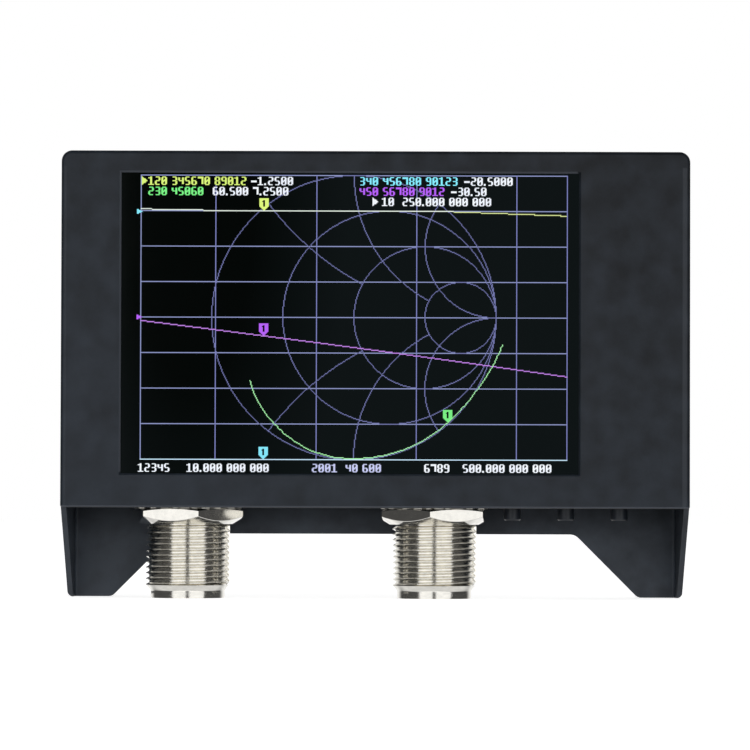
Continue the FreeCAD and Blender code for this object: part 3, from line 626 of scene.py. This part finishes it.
COLOURS = {
    "frame": (0.28, 0.32, 0.58),
    "grid": (0.21, 0.23, 0.53),
    "chart": (0.165, 0.18, 0.40),
    "pale": (0.80, 0.88, 0.80),
    "lilac": (0.56, 0.24, 0.84),
    "sky": (0.58, 0.80, 1.0),
    "mint": (0.42, 0.95, 0.44),
    "straw": (0.66, 0.74, 0.30),
    "yellow": (0.72, 0.92, 0.20),
    "magenta": (0.46, 0.12, 0.92),
    "cyan": (0.24, 0.82, 1.0),
    "green": (0.20, 0.90, 0.24),
    "white": (0.86, 0.90, 1.0),
    "dim": (0.55, 0.58, 0.85),
}

BARS = {
    "top": (1, 0, 5, 1), "middle": (1, 4, 5, 5), "bottom": (1, 8, 5, 9),
    "high_left": (0, 1, 2, 4), "left": (0, 4, 2, 5), "low_left": (0, 5, 2, 8),
    "high_right": (4, 1, 6, 4), "right": (4, 4, 6, 5), "low_right": (4, 5, 6, 8),
    "stem": (2, 0, 4, 8), "flag": (0, 1, 2, 2), "foot": (0, 8, 6, 9),
    "slash_high": (3, 3, 4, 5), "slash_low": (2, 4, 3, 6), "stop": (0, 7, 2, 9),
    "dash": (0, 4, 6, 6), "roof": (0, 0, 6, 2),
}
SIGNS = {
    "0": "top high_right right low_right bottom low_left left high_left slash_high slash_low",
    "1": "stem flag foot",
    "2": "top high_right middle low_left bottom",
    "3": "top high_right middle low_right bottom",
    "4": "high_left middle high_right right low_right",
    "5": "top high_left middle low_right bottom",
    "6": "top high_left left middle low_left low_right bottom",
    "7": "roof high_right right low_right",
    "8": "top high_right low_right bottom low_left high_left middle",
    "9": "top high_right right low_right bottom high_left middle",
    "-": "dash",
    ".": "stop",
    " ": "",
}
SIGN_STEP = 7
NARROW_STEP = 4

# Rows of the numbers, then colour, text, column and row of each
FIRST = 4
SECOND = 15
THIRD = 26
LAST = 311
NUMBERS = (
    ("yellow", "120 345670 89012", 29, FIRST),
    ("white", "-1.2500", 139, FIRST),
    ("green", "230 45060", 29, SECOND),
    ("white", "60.500 7.2500", 98, SECOND),
    ("cyan", "340 456780 90123", 255, FIRST),
    ("white", "-20.5000", 367, FIRST),
    ("magenta", "450 56780 9012", 255, SECOND),
    ("white", "-30.50", 353, SECOND),
    ("white", "10  250.000 000 000", 279, THIRD),
    ("white", "12345", 19, LAST),
    ("white", "10.000 000 000", 71, LAST),
    ("dim", "2001  40 600", 205, LAST),
    ("white", "6789", 325, LAST),
    ("white", "500.000 000 000", 366, LAST),
)

# Colour, column and row of each flag's point, and of each triangle's upright side with its slope
FLAGS = (("yellow", 153, 40), ("magenta", 153, 174), ("cyan", 153, GRID_BOTTOM), ("green", 350, 266))
TRIANGLES = (
    ("cyan", 17, 41, 0.4), ("magenta", 17, 154, 0.4),
    ("yellow", 22, FIRST + 4, 0.8), ("white", 269, THIRD + 4, 0.8),
)
TRIANGLE_LENGTH = 6
FLAG_HALF = 5
FLAG_BODY = 9
FLAG_POINT = 4
LEVEL_RUN = 3


def curve_cells(raster, columns, rows, keep=None):
    """Lights the cells of a curve, one for each column or row that it moves by, whichever is more."""
    moved = np.maximum(np.abs(np.diff(columns)), np.abs(np.diff(rows)))
    travelled = np.concatenate(([0.0], np.cumsum(moved)))
    steps = np.arange(math.floor(travelled[-1]) + 1)
    across = np.interp(steps, travelled, columns)
    down = np.interp(steps, travelled, rows)
    column, row = np.rint(across).astype(int), np.rint(down).astype(int)
    inside = (column >= 0) & (column < raster.shape[1]) & (row >= 0) & (row < raster.shape[0])
    if keep:
        inside &= keep(across, down)
    raster[row[inside], column[inside]] = True


def straight(ends, steps):
    """Close points along straight runs through a list of (column, row) places."""
    share = np.linspace(0, len(ends) - 1, steps)
    known = np.arange(len(ends))
    return np.interp(share, known, ends[:, 0]), np.interp(share, known, ends[:, 1])


def circle(column, row, radius):
    """Close points round a circle: column + r cos a, row + r sin a."""
    angle = np.linspace(0, 2 * math.pi, CIRCLE_STEPS)
    return column + radius * np.cos(angle), row + radius * np.sin(angle)


def impedance_grid(raster):
    """Circles of equal resistance and arcs of equal reactance, all through the chart's right end.

    A circle of resistance r has radius R / (1 + r), an arc of reactance x has radius R / x, and a
    place is inside resistance r where its distance from that circle's centre is under its radius.
    """
    right = CHART_COLUMN + CHART_RADIUS
    for resistance in RESISTANCES:
        radius = CHART_RADIUS / (1 + resistance)
        curve_cells(raster, *circle(right - radius, CHART_ROW, radius))
    for reactance, resistance in REACTANCES:
        radius = CHART_RADIUS / reactance
        inner = CHART_RADIUS / (1 + resistance) if resistance else 0.0

        def shown(column, row):
            whole = np.hypot(column - CHART_COLUMN, row - CHART_ROW) <= CHART_RADIUS
            return whole & (np.hypot(column - right + inner, row - CHART_ROW) >= inner)

        for side in (-1, 1):
            curve_cells(raster, *circle(right, CHART_ROW + side * radius, radius), shown)


def number_cells(raster, text, column, row):
    """Lights a line of plain numbers, each made of a few bars."""
    for sign in text:
        for bar in SIGNS[sign].split():
            left, top, right, bottom = BARS[bar]
            raster[row + top:row + bottom, column + left:column + right] = True
        column += NARROW_STEP if sign in ". " else SIGN_STEP


def triangle_cells(raster, column, row, slope):
    """Lights a triangle that points to the right, from the column of its upright side."""
    for i in range(TRIANGLE_LENGTH):
        half = round((TRIANGLE_LENGTH - 1 - i) * slope)
        raster[row - half:row + half + 1, column + i] = True


def flag_cells(raster, column, row):
    """Lights a marker flag with its point at a place, and leaves a number one open in it."""
    top = row - FLAG_BODY - FLAG_POINT
    raster[top:top + FLAG_BODY, column - FLAG_HALF:column + FLAG_HALF] = True
    for i in range(FLAG_POINT):
        half = FLAG_HALF - 1 - i
        raster[top + FLAG_BODY + i, column - half:column + half] = True
    raster[top + 2:top + FLAG_BODY, column - 1:column + 1] = False
    raster[top + 3, column - 2] = False


def stretches(grid):
    """Lane, start and end of every run of lit cells along the lanes of a grid."""
    edge = np.diff(np.pad(grid, ((0, 0), (1, 1))).astype(np.int8), axis=1)
    lane, start = np.nonzero(edge == 1)
    return lane, start, np.nonzero(edge == -1)[1]


def runs(raster):
    """Boxes that cover the lit cells, as (column, row, column end, row end): the longer level runs,
    and upright runs of what is left."""
    left = raster.copy()
    lane, start, end = stretches(left)
    level = np.stack((start, lane, end, lane + 1), axis=1)[end - start >= LEVEL_RUN]
    for column, row, column_end, row_end in level:
        left[row, column:column_end] = False
    lane, start, end = stretches(left.T)
    return np.concatenate((level, np.stack((lane, start, lane + 1, end), axis=1)))


def picture_piece(name, raster, colour, display, layer):
    """One colour of the picture: cells that lie on the front of the glass."""
    cells = runs(raster)
    left = GLASS_LOW.x + PICTURE_MARGIN_LEFT - PICTURE_OVERLAP_LEFT
    top = GLASS_HIGH.z - PICTURE_MARGIN_TOP
    front = GLASS_LOW.y - LAYER * (1 + layer)
    back = GLASS_LOW.y + LAYER
    low_x = left + cells[:, 0] * display.cell
    high_x = left + cells[:, 2] * display.cell
    high_z = top - cells[:, 1] * display.cell
    low_z = top - cells[:, 3] * display.cell
    flat = np.ones(len(cells))
    points, faces = boxes(np.stack((low_x, front * flat, low_z), axis=1),
                          np.stack((high_x, back * flat, high_z), axis=1))
    material = lit("lit_" + name, colour, display.glow)
    return mesh_piece(name, points, faces, material)


class ANALYZER_OT_picture(bpy.types.Operator):
    """Draws the sweep grid, the round chart, four traces, flags and plain numbers on the display"""
    bl_idname = "analyzer.picture"
    bl_label = "Display picture"

    def execute(self, context):
        display = context.scene.analyzer_display
        layers = {name: np.zeros((display.rows, display.columns), bool) for name in COLOURS}
        self.grid(layers)
        self.traces(layers)
        for colour, text, column, row in NUMBERS:
            number_cells(layers[colour], text, column, row)
        for colour, column, row in FLAGS:
            flag_cells(layers[colour], column, row)
        for colour, column, row, slope in TRIANGLES:
            triangle_cells(layers[colour], column, row, slope)
        for order, name in enumerate(COLOURS):
            picture_piece("display_" + name, layers[name], COLOURS[name], display, order)
        return {"FINISHED"}

    def grid(self, layers):
        """Level lines at equal steps, upright ones at round sweep values, and the round chart."""
        tall = slice(GRID_TOP, GRID_BOTTOM + 1)
        step = GRID_HEIGHT // GRID_ROWS
        layers["frame"][GRID_TOP:GRID_BOTTOM + 1:step, GRID_LEFT:GRID_RIGHT + 1] = True
        layers["frame"][tall, GRID_LEFT] = True
        sweeps = np.arange(SWEEP_STEP, SWEEP_HIGH, SWEEP_STEP)
        columns = GRID_LEFT + GRID_WIDTH * (sweeps - SWEEP_LOW) / (SWEEP_HIGH - SWEEP_LOW)
        layers["grid"][tall, [GRID_RIGHT, *np.rint(columns).astype(int)]] = True
        impedance_grid(layers["chart"])

    def traces(self, layers):
        """Four traces over the share s of the grid's width.

        The upper one's row is min(start + fall s, level) + droop max(0, s - droop's start). The
        slanted one's is start + fall s - sag sin(pi s). The lowest lies on the grid's bottom. The arc
        is at the chart's radius times reach + amount max(0, x) ** power for both of its ends, where x
        grows from 0 at the end's first angle to about 1 at its last.
        """
        share = np.linspace(0, 1, TRACE_STEPS)
        column = GRID_LEFT + GRID_WIDTH * share
        row = np.minimum(UPPER_START + UPPER_FALL * share, UPPER_ROW)
        row = np.floor(row + DROOP * np.maximum(0, share - DROOP_START))
        pale = share < PALE_END
        curve_cells(layers["pale"], column[pale], row[pale])
        curve_cells(layers["straw"], column[~pale], row[~pale])
        slant = SLANT_START + SLANT_FALL * share - SLANT_SAG * np.sin(math.pi * share)
        curve_cells(layers["lilac"], column, slant)
        curve_cells(layers["sky"], column, GRID_BOTTOM + 0 * column)
        angle = np.linspace(*ARC_ANGLES, ARC_PLACES)
        reach = np.full_like(angle, ARC_REACH)
        for side, (first, span, amount, power) in ((-1, ARC_START), (1, ARC_END)):
            reach += amount * np.maximum(0, side * (angle - first) / span) ** power
        turn = np.radians(angle)
        places = np.stack((CHART_COLUMN + CHART_RADIUS * reach * np.cos(turn),
                           CHART_ROW + ARC_ROW + CHART_RADIUS * reach * np.sin(turn)), axis=1)
        curve_cells(layers["mint"], *straight(np.rint(places), ARC_STEPS))


# Ports


FLANK_ANGLE = math.radians(30)
THREAD_RADIUS = 7.93 * MM
THREAD_LOW = 2.45 * MM
THREAD_GAP = 0.1 * MM

# Radius and height in millimetres: the mouth's rim and the nose, and the cavity from the top down
NOSE = ((4.5, 0.0), (6.87, 0.0), (6.97, 0.05), (7.0, 0.15), (7.0, 1.25))
CAVITY = ((3.5, 9.9), (3.05, 9.9), (3.05, 9.1), (4.1, 9.1), (4.1, 0.4))

# The flare from the nose to the thread: a curve whose radius goes up with a power of its share
FLARE_STEPS = 9
FLARE_POWER = 1.3
FLARE_LOW = 1.35 * MM
FLARE_HEIGHT = 1.1 * MM
FLARE_RADIUS = 7.0 * MM
FLARE_WIDTH = 0.85 * MM

# The neck inside the nut, the seat under the flange, and the stem above it with its bore
NECK_RADIUS = 7.4 * MM
SEAT_RADIUS = 7.6 * MM
STEM_RADIUS = 6.3 * MM
STEM_BORE = 3.5 * MM
STEM_HEIGHT = 2.8 * MM
CONTACT_TAIL = 4.4 * MM

# The hexagons: bore, radii of the flat lands below and above, and slopes of the cones past them
ACROSS_FLATS = 19 * MM
FLANGE_LIFT = 1.3 * MM
FLANGE_HEIGHT = 2.8 * MM
HEXAGON_STEPS = 16
HEXAGON_SOFT = 0.06 * MM
NUT = dict(bore=7.65 * MM, lands=(8.49 * MM, 9.4 * MM), slopes=(math.radians(30), math.radians(15)))
FLANGE = dict(bore=7.55 * MM, lands=(9.4 * MM, 9.4 * MM), slopes=(math.radians(20), math.radians(20)))
NUT_TURNS = {1: math.radians(12.5), 2: math.radians(-4.7)}

TURNED = dict(streak=(3.0, 3.0, 1.0), size=0.5 * MM)
NUT_ROUGHNESS_SHARE = 0.5
NUT_STREAK_SIZE = 1.5 * MM
PORT_FINISHES = (
    ("washer_steel_%d", plated, dict(colour=(0.55, 0.53, 0.48), roughness=0.3), "port_%d_washer"),
    ("white_insulator_%d", moulded, dict(colour=(0.8, 0.8, 0.78), roughness=0.35), "port_%d_insulator"),
    ("gold_contact_%d", plated, dict(colour=(0.83, 0.60, 0.24), roughness=0.16), "port_%d_contact"),
)


def thread_rows(port, low, high, angle):
    """Radius and height of the helical rows of a thread, as arrays of rows by steps.

    The height of a row rises by one pitch in a turn. Along a row the radius stays the same: root,
    flank, crest, crest, flank, root. Past either end a row lies flat on it, at the radius that the
    helix has there.
    """
    flank = (port.pitch - port.crest - port.root) / 2
    full = flank / math.tan(FLANK_ANGLE)
    knots = np.array((0.0, port.root, port.root + flank, port.root + flank + port.crest)) / port.pitch
    depths = np.array((full, full, 0.0, 0.0))
    turns = math.ceil((high - low) / port.pitch) + 2
    phase = (np.arange(-1, turns)[:, None] + knots[None]).reshape(-1, 1)
    height = low + port.pitch * (phase + angle / (2 * math.pi))
    clipped = np.clip(height, low, high)
    at = np.mod((clipped - low) / port.pitch - angle / (2 * math.pi), 1.0)
    cycle = np.append(knots, 1.0)
    depth = np.interp(at, cycle, np.append(depths, full))
    return THREAD_RADIUS - depth, clipped


def port_shell(number, port, material):
    """A port's shell, turned from one closed profile with the helical thread on its outside.

    Along the flare the radius is the nose's plus the flare's width times its share to a power.
    """
    angle = np.linspace(0, 2 * math.pi, port.segments, endpoint=False)
    nut_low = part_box("port_%d_nut" % number)[0].z
    shell_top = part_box("port_%d_body" % number)[1].z - CONTACT_TAIL
    flange_top = shell_top - STEM_HEIGHT
    thread_high = nut_low - THREAD_GAP
    flare = np.linspace(0.0, 1.0, FLARE_STEPS)
    outer = [(radius * MM, height * MM) for radius, height in NOSE]
    outer += zip(FLARE_RADIUS + FLARE_WIDTH * flare ** FLARE_POWER, FLARE_LOW + FLARE_HEIGHT * flare)
    inner = [(NECK_RADIUS, thread_high), (NECK_RADIUS, nut_low), (SEAT_RADIUS, nut_low),
             (SEAT_RADIUS, flange_top), (STEM_RADIUS, flange_top), (STEM_RADIUS, shell_top),
             (STEM_BORE, shell_top)]
    inner += [(radius * MM, height * MM) for radius, height in CAVITY]
    even = np.ones_like(angle)
    rows = [(radius * even, height * even) for radius, height in outer]
    rows += zip(*thread_rows(port, THREAD_LOW, thread_high, angle))
    rows += [(radius * even, height * even) for radius, height in inner]
    axis = port_axis(number)
    points = np.stack([turned_points(radius, height, angle, axis) for radius, height in rows])
    faces = ring_faces(len(rows), port.segments)
    piece = mesh_piece("port_%d_shell" % number, points, faces, material, weld=WELD)
    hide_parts("port_%d_body" % number)


def hexagon_piece(name, number, low, high, corner, shape, material):
    """A hexagonal nut: the hexagon's outline, cut back at both faces by cones.

    The outline's radius is half the width across flats over the cosine of the angle from the
    nearest flat's middle. Past a face's land the face falls by the slope's tangent times the
    distance from the land.
    """
    low_land, high_land = shape["lands"]
    low_slope, high_slope = (math.tan(slope) for slope in shape["slopes"])
    bore = shape["bore"]
    sixth = math.pi / 3
    angle = corner + np.linspace(0, 2 * math.pi, 6 * HEXAGON_STEPS, endpoint=False)
    outline = ACROSS_FLATS / 2 / np.cos(np.mod(angle - corner, sixth) - sixth / 2)
    bottom = low + np.maximum(0, outline - low_land) * low_slope
    top = high - np.maximum(0, outline - high_land) * high_slope
    soft = HEXAGON_SOFT
    rows = [
        (bore, low), (np.minimum(low_land, outline), low),
        (outline - soft, bottom - soft * low_slope), (outline, bottom + soft),
        (outline, top - soft), (outline - soft, top + soft * high_slope),
        (np.minimum(high_land, outline), high), (bore, high),
    ]
    even = np.ones_like(angle)
    axis = port_axis(number)
    points = np.stack([turned_points(radius * even, height * even, angle, axis) for radius, height in rows])
    faces = ring_faces(len(rows), len(angle))
    return mesh_piece(name, points, faces, material, HEXAGON_EDGE, WELD)


class ANALYZER_OT_ports(bpy.types.Operator):
    """Turns and threads the ports' shells, and plates them, their nuts and their washers"""
    bl_idname = "analyzer.ports"
    bl_label = "Ports"

    def execute(self, context):
        port = context.scene.analyzer_port
        nickel = plated("nickel_plate", port.nickel, port.roughness, **TURNED)
        bright = plated("nickel_nut_plate", port.nickel, port.roughness * NUT_ROUGHNESS_SHARE,
                        size=NUT_STREAK_SIZE)
        for number in PORTS:
            port_shell(number, port, nickel)
            low, high = (box.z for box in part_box("port_%d_nut" % number))
            nut = hexagon_piece("port_%d_hexagon" % number, number, low, high,
                                NUT_TURNS[number] - math.pi / 2, NUT, bright)
            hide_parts("port_%d_nut" % number)
            floor = high + FLANGE_LIFT
            flange = hexagon_piece("port_%d_flange" % number, number, floor, floor + FLANGE_HEIGHT,
                                   0.0, FLANGE, nickel)
            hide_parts("port_%d_body" % number)
            for name, finish, settings, node in PORT_FINISHES:
                dress(finish(name % number, **settings), node % number)
        return {"FINISHED"}


# Buttons and inner pieces


BUTTON_FINISHES = (
    ("button_black", moulded, dict(colour=(0.011, 0.014, 0.019), roughness=0.36, size=0.5 * MM,
                                   relief=0.002 * MM, specular=0.35),
     ("button_1", "button_2", "button_3", "power_knob")),
)
INSIDE_FINISHES = (
    ("stamped_steel", plated, dict(colour=(0.58, 0.58, 0.57), roughness=0.28, streak=(1.0, 1.0, 3.0)),
     ("shield_cans", "switch_frames", "switch_domes", "power_switch_body", "usb_shell")),
    ("cream_socket", moulded, dict(colour=(0.72, 0.68, 0.56), roughness=0.4),
     ("ribbon_socket", "battery_plug")),
    ("chip_black", moulded, dict(colour=(0.02, 0.02, 0.021), roughness=0.5),
     ("board_chips", "switch_bases", "usb_tongue")),
    ("turned_aluminium", plated, dict(colour=(0.72, 0.72, 0.73), roughness=0.3),
     ("front_standoffs", "rear_standoffs")),
    ("green_board", moulded, dict(colour=(0.012, 0.10, 0.045), roughness=0.3, size=1.2 * MM,
                                  relief=0.01 * MM), ("main_board",)),
    ("amber_ribbon", moulded, dict(colour=(0.45, 0.18, 0.03), roughness=0.3, size=1.0 * MM),
     ("lcd_ribbon",)),
    ("clear_pipe", clear, dict(colour=(0.95, 0.97, 0.97), roughness=0.12, ior=1.49), ("light_pipes",)),
    ("lamp_white", moulded, dict(colour=(0.85, 0.85, 0.76), roughness=0.3), ("status_lamps",)),
    ("foam_tape", moulded, dict(colour=(0.02, 0.02, 0.021), roughness=0.85, size=0.4 * MM,
                                relief=0.05 * MM), ("battery_tape",)),
    ("foil_pouch", plated, dict(colour=(0.55, 0.55, 0.56), roughness=0.38, size=3 * MM,
                                relief=0.03 * MM), ("battery_cell",)),
    ("red_lead", moulded, dict(colour=(0.45, 0.02, 0.02), roughness=0.35), ("battery_leads",)),
)


class ANALYZER_OT_buttons(bpy.types.Operator):
    """Finishes the push buttons and the power slide"""
    bl_idname = "analyzer.buttons"
    bl_label = "Buttons"

    def execute(self, context):
        dress_all(BUTTON_FINISHES)
        return {"FINISHED"}


class ANALYZER_OT_inside(bpy.types.Operator):
    """Finishes what is inside the case and the sockets and light pipes on top"""
    bl_idname = "analyzer.inside"
    bl_label = "Inside"

    def execute(self, context):
        dress_all(INSIDE_FINISHES)
        return {"FINISHED"}


# Stage


# The camera's aim on the object, its small turns, and its sensor in millimetres
AIM_X = -0.083 * MM
AIM_Z = 42.15 * MM
YAW = math.radians(0.064)
RISE = math.radians(-1.5)
ROLL = math.radians(0.175)
SENSOR = 36.0
CLIP_START = 0.01
CLIP_END = 50.0

FLOOR_HALF = 3.0
FLOOR_GAP = 0.02 * MM
FLOOR_COLOUR = (0.82, 0.82, 0.82, 1.0)
FLOOR_GLOW = 0.72

# What metal and glass see: a dark room that turns light behind and below, over these directions
ROOM_LIGHT = 0.07
BACK_SPAN = (0.55, 0.85)
BACK_LIGHT = 1.0
BELOW_SPAN = (-0.35, -0.65)
BELOW_LIGHT = 0.75

# Lamps: name, left end, right end and share of the key power of each softbox, and the low fill
SOFTBOXES = (("softbox_left", -1.75, -0.14, 1.0), ("softbox_right", 0.14, 2.2, 1.28))
SOFTBOX_HEIGHT = 3.0
SOFTBOX_DISTANCE = 1.6
FILL_SIZE = (2.4, 0.34)
FILL_PLACE = (0.0, -1.5, 0.18)


def lamp(name, size, place, power):
    """An upright lamp in front of the object that shines back at it."""
    light = bpy.data.lights.new(name, "AREA")
    light.shape = "RECTANGLE"
    light.size, light.size_y = size
    light.energy = power
    piece = bpy.data.objects.new(name, light)
    bpy.context.scene.collection.objects.link(piece)
    piece.location = place
    piece.rotation_euler = (math.pi / 2, 0, 0)
    return piece


class ANALYZER_OT_stage(bpy.types.Operator):
    """Sets up the white floor, the soft lamps, the world and the camera"""
    bl_idname = "analyzer.stage"
    bl_label = "Stage"

    def execute(self, context):
        studio = context.scene.analyzer_studio
        self.floor()
        self.world(context.scene, studio.ambient)
        for name, left, right, share in SOFTBOXES:
            lamp(name, (right - left, SOFTBOX_HEIGHT), ((left + right) / 2, -SOFTBOX_DISTANCE, 0.0),
                 studio.key * share)
        fill = lamp("fill", FILL_SIZE, FILL_PLACE, studio.fill)
        fill.visible_glossy = False
        fill.visible_transmission = False
        self.camera(context.scene, studio)
        context.scene.view_settings.view_transform = "Standard"
        return {"FINISHED"}

    def floor(self):
        """A white floor that glows for the camera, and isn't there for mirrors or from below."""
        corners = [(x * FLOOR_HALF, y * FLOOR_HALF, 0) for x, y in ((-1, -1), (1, -1), (1, 1), (-1, 1))]
        mesh = bpy.data.meshes.new("floor")
        mesh.from_pydata(corners, [], [(0, 1, 2, 3)])
        floor = bpy.data.objects.new("floor", mesh)
        bpy.context.scene.collection.objects.link(floor)
        floor.location.z = -FLOOR_GAP
        material = bpy.data.materials.new("floor_white")
        material.use_nodes = True
        tree = material.node_tree
        tree.nodes.clear()
        path = tree.nodes.new("ShaderNodeLightPath")
        side = tree.nodes.new("ShaderNodeNewGeometry")
        diffuse = tree.nodes.new("ShaderNodeBsdfDiffuse")
        diffuse.inputs["Color"].default_value = FLOOR_COLOUR
        glow = tree.nodes.new("ShaderNodeEmission")
        seen = reckon(tree, "MAXIMUM", path.outputs["Is Camera Ray"], path.outputs["Is Transmission Ray"])
        tree.links.new(reckon(tree, "MULTIPLY", seen, FLOOR_GLOW), glow.inputs["Strength"])
        total = tree.nodes.new("ShaderNodeAddShader")
        tree.links.new(diffuse.outputs[0], total.inputs[0])
        tree.links.new(glow.outputs[0], total.inputs[1])
        absent = reckon(tree, "MAXIMUM", path.outputs["Is Glossy Ray"], side.outputs["Backfacing"])
        through = tree.nodes.new("ShaderNodeBsdfTransparent")
        choice = tree.nodes.new("ShaderNodeMixShader")
        for socket, end in zip((absent, total.outputs[0], through.outputs[0]), choice.inputs):
            tree.links.new(socket, end)
        out = tree.nodes.new("ShaderNodeOutputMaterial")
        tree.links.new(choice.outputs[0], out.inputs["Surface"])
        mesh.materials.append(material)

    def world(self, scene, ambient):
        """White for the camera, a dark room for metal and glass, and even light for the rest."""
        world = bpy.data.worlds.new("studio")
        world.use_nodes = True
        tree = world.node_tree
        tree.nodes.clear()
        place = tree.nodes.new("ShaderNodeTexCoord")
        path = tree.nodes.new("ShaderNodeLightPath")
        split = axes(tree, place.outputs["Generated"])
        back = between(tree, split["Y"], *BACK_SPAN, ROOM_LIGHT, BACK_LIGHT)
        below = between(tree, split["Z"], *BELOW_SPAN, ROOM_LIGHT, BELOW_LIGHT)
        mirror = reckon(tree, "MAXIMUM", path.outputs["Is Glossy Ray"], path.outputs["Is Transmission Ray"])
        strength = weigh(tree, mirror, ambient, reckon(tree, "MAXIMUM", back, below))
        strength = weigh(tree, path.outputs["Is Camera Ray"], strength, 1.0)
        glow = tree.nodes.new("ShaderNodeBackground")
        glow.inputs["Color"].default_value = (1.0, 1.0, 1.0, 1.0)
        tree.links.new(strength, glow.inputs["Strength"])
        out = tree.nodes.new("ShaderNodeOutputWorld")
        tree.links.new(glow.outputs[0], out.inputs["Surface"])
        scene.world = world

    def camera(self, scene, studio):
        """The photo's view: slightly below the middle, from far off."""
        data = bpy.data.cameras.new("camera")
        data.sensor_width = SENSOR
        data.lens = studio.lens
        data.clip_start = CLIP_START
        data.clip_end = CLIP_END
        camera = bpy.data.objects.new("camera", data)
        scene.collection.objects.link(camera)
        back = Vector((math.sin(YAW) * math.cos(RISE), -math.cos(YAW) * math.cos(RISE), math.sin(RISE)))
        right = Vector((math.cos(YAW), math.sin(YAW), 0.0))
        up = back.cross(right)
        across = math.cos(ROLL) * right + math.sin(ROLL) * up
        upward = -math.sin(ROLL) * right + math.cos(ROLL) * up
        place = Vector((AIM_X, 0.0, AIM_Z)) + back * studio.distance
        turn = Matrix((across, upward, back)).transposed().to_4x4()
        camera.matrix_world = Matrix.Translation(place) @ turn
        scene.camera = camera


class ANALYZER_PT_panel(bpy.types.Panel):
    """Lists the pieces that can be built, and their sizes and colours"""
    bl_idname = "ANALYZER_PT_panel"
    bl_label = "Antenna analyzer"
    bl_space_type = "VIEW_3D"
    bl_region_type = "UI"
    bl_category = "Analyzer"

    def draw(self, context):
        """Puts up a button for each operator, then every property."""
        column = self.layout.column()
        for operator in OPERATORS:
            column.operator(operator.bl_idname)
        for name in PROPERTIES:
            group = getattr(context.scene, name)
            for field in group.__annotations__:
                column.prop(group, field)


PROPERTIES = {
    "analyzer_coat": CoatProperties,
    "analyzer_port": PortProperties,
    "analyzer_display": DisplayProperties,
    "analyzer_studio": StudioProperties,
}
OPERATORS = (ANALYZER_OT_case, ANALYZER_OT_display, ANALYZER_OT_picture, ANALYZER_OT_ports,
             ANALYZER_OT_buttons, ANALYZER_OT_inside, ANALYZER_OT_stage)


def register():
    """Registers the classes and hangs the properties on the scene."""
    for group in (*PROPERTIES.values(), *OPERATORS, ANALYZER_PT_panel):
        bpy.utils.register_class(group)
    for name, group in PROPERTIES.items():
        setattr(bpy.types.Scene, name, PointerProperty(type=group))


def unregister():
    """Takes the properties and the classes away again."""
    for name in PROPERTIES:
        delattr(bpy.types.Scene, name)
    for group in reversed((*PROPERTIES.values(), *OPERATORS, ANALYZER_PT_panel)):
        bpy.utils.unregister_class(group)


def main():
    """Builds every piece and the stage."""
    register()
    bpy.ops.analyzer.case()
    bpy.ops.analyzer.display()
    bpy.ops.analyzer.picture()
    bpy.ops.analyzer.ports()
    bpy.ops.analyzer.buttons()
    bpy.ops.analyzer.inside()
    bpy.ops.analyzer.stage()


if __name__ == "__main__":
    main()
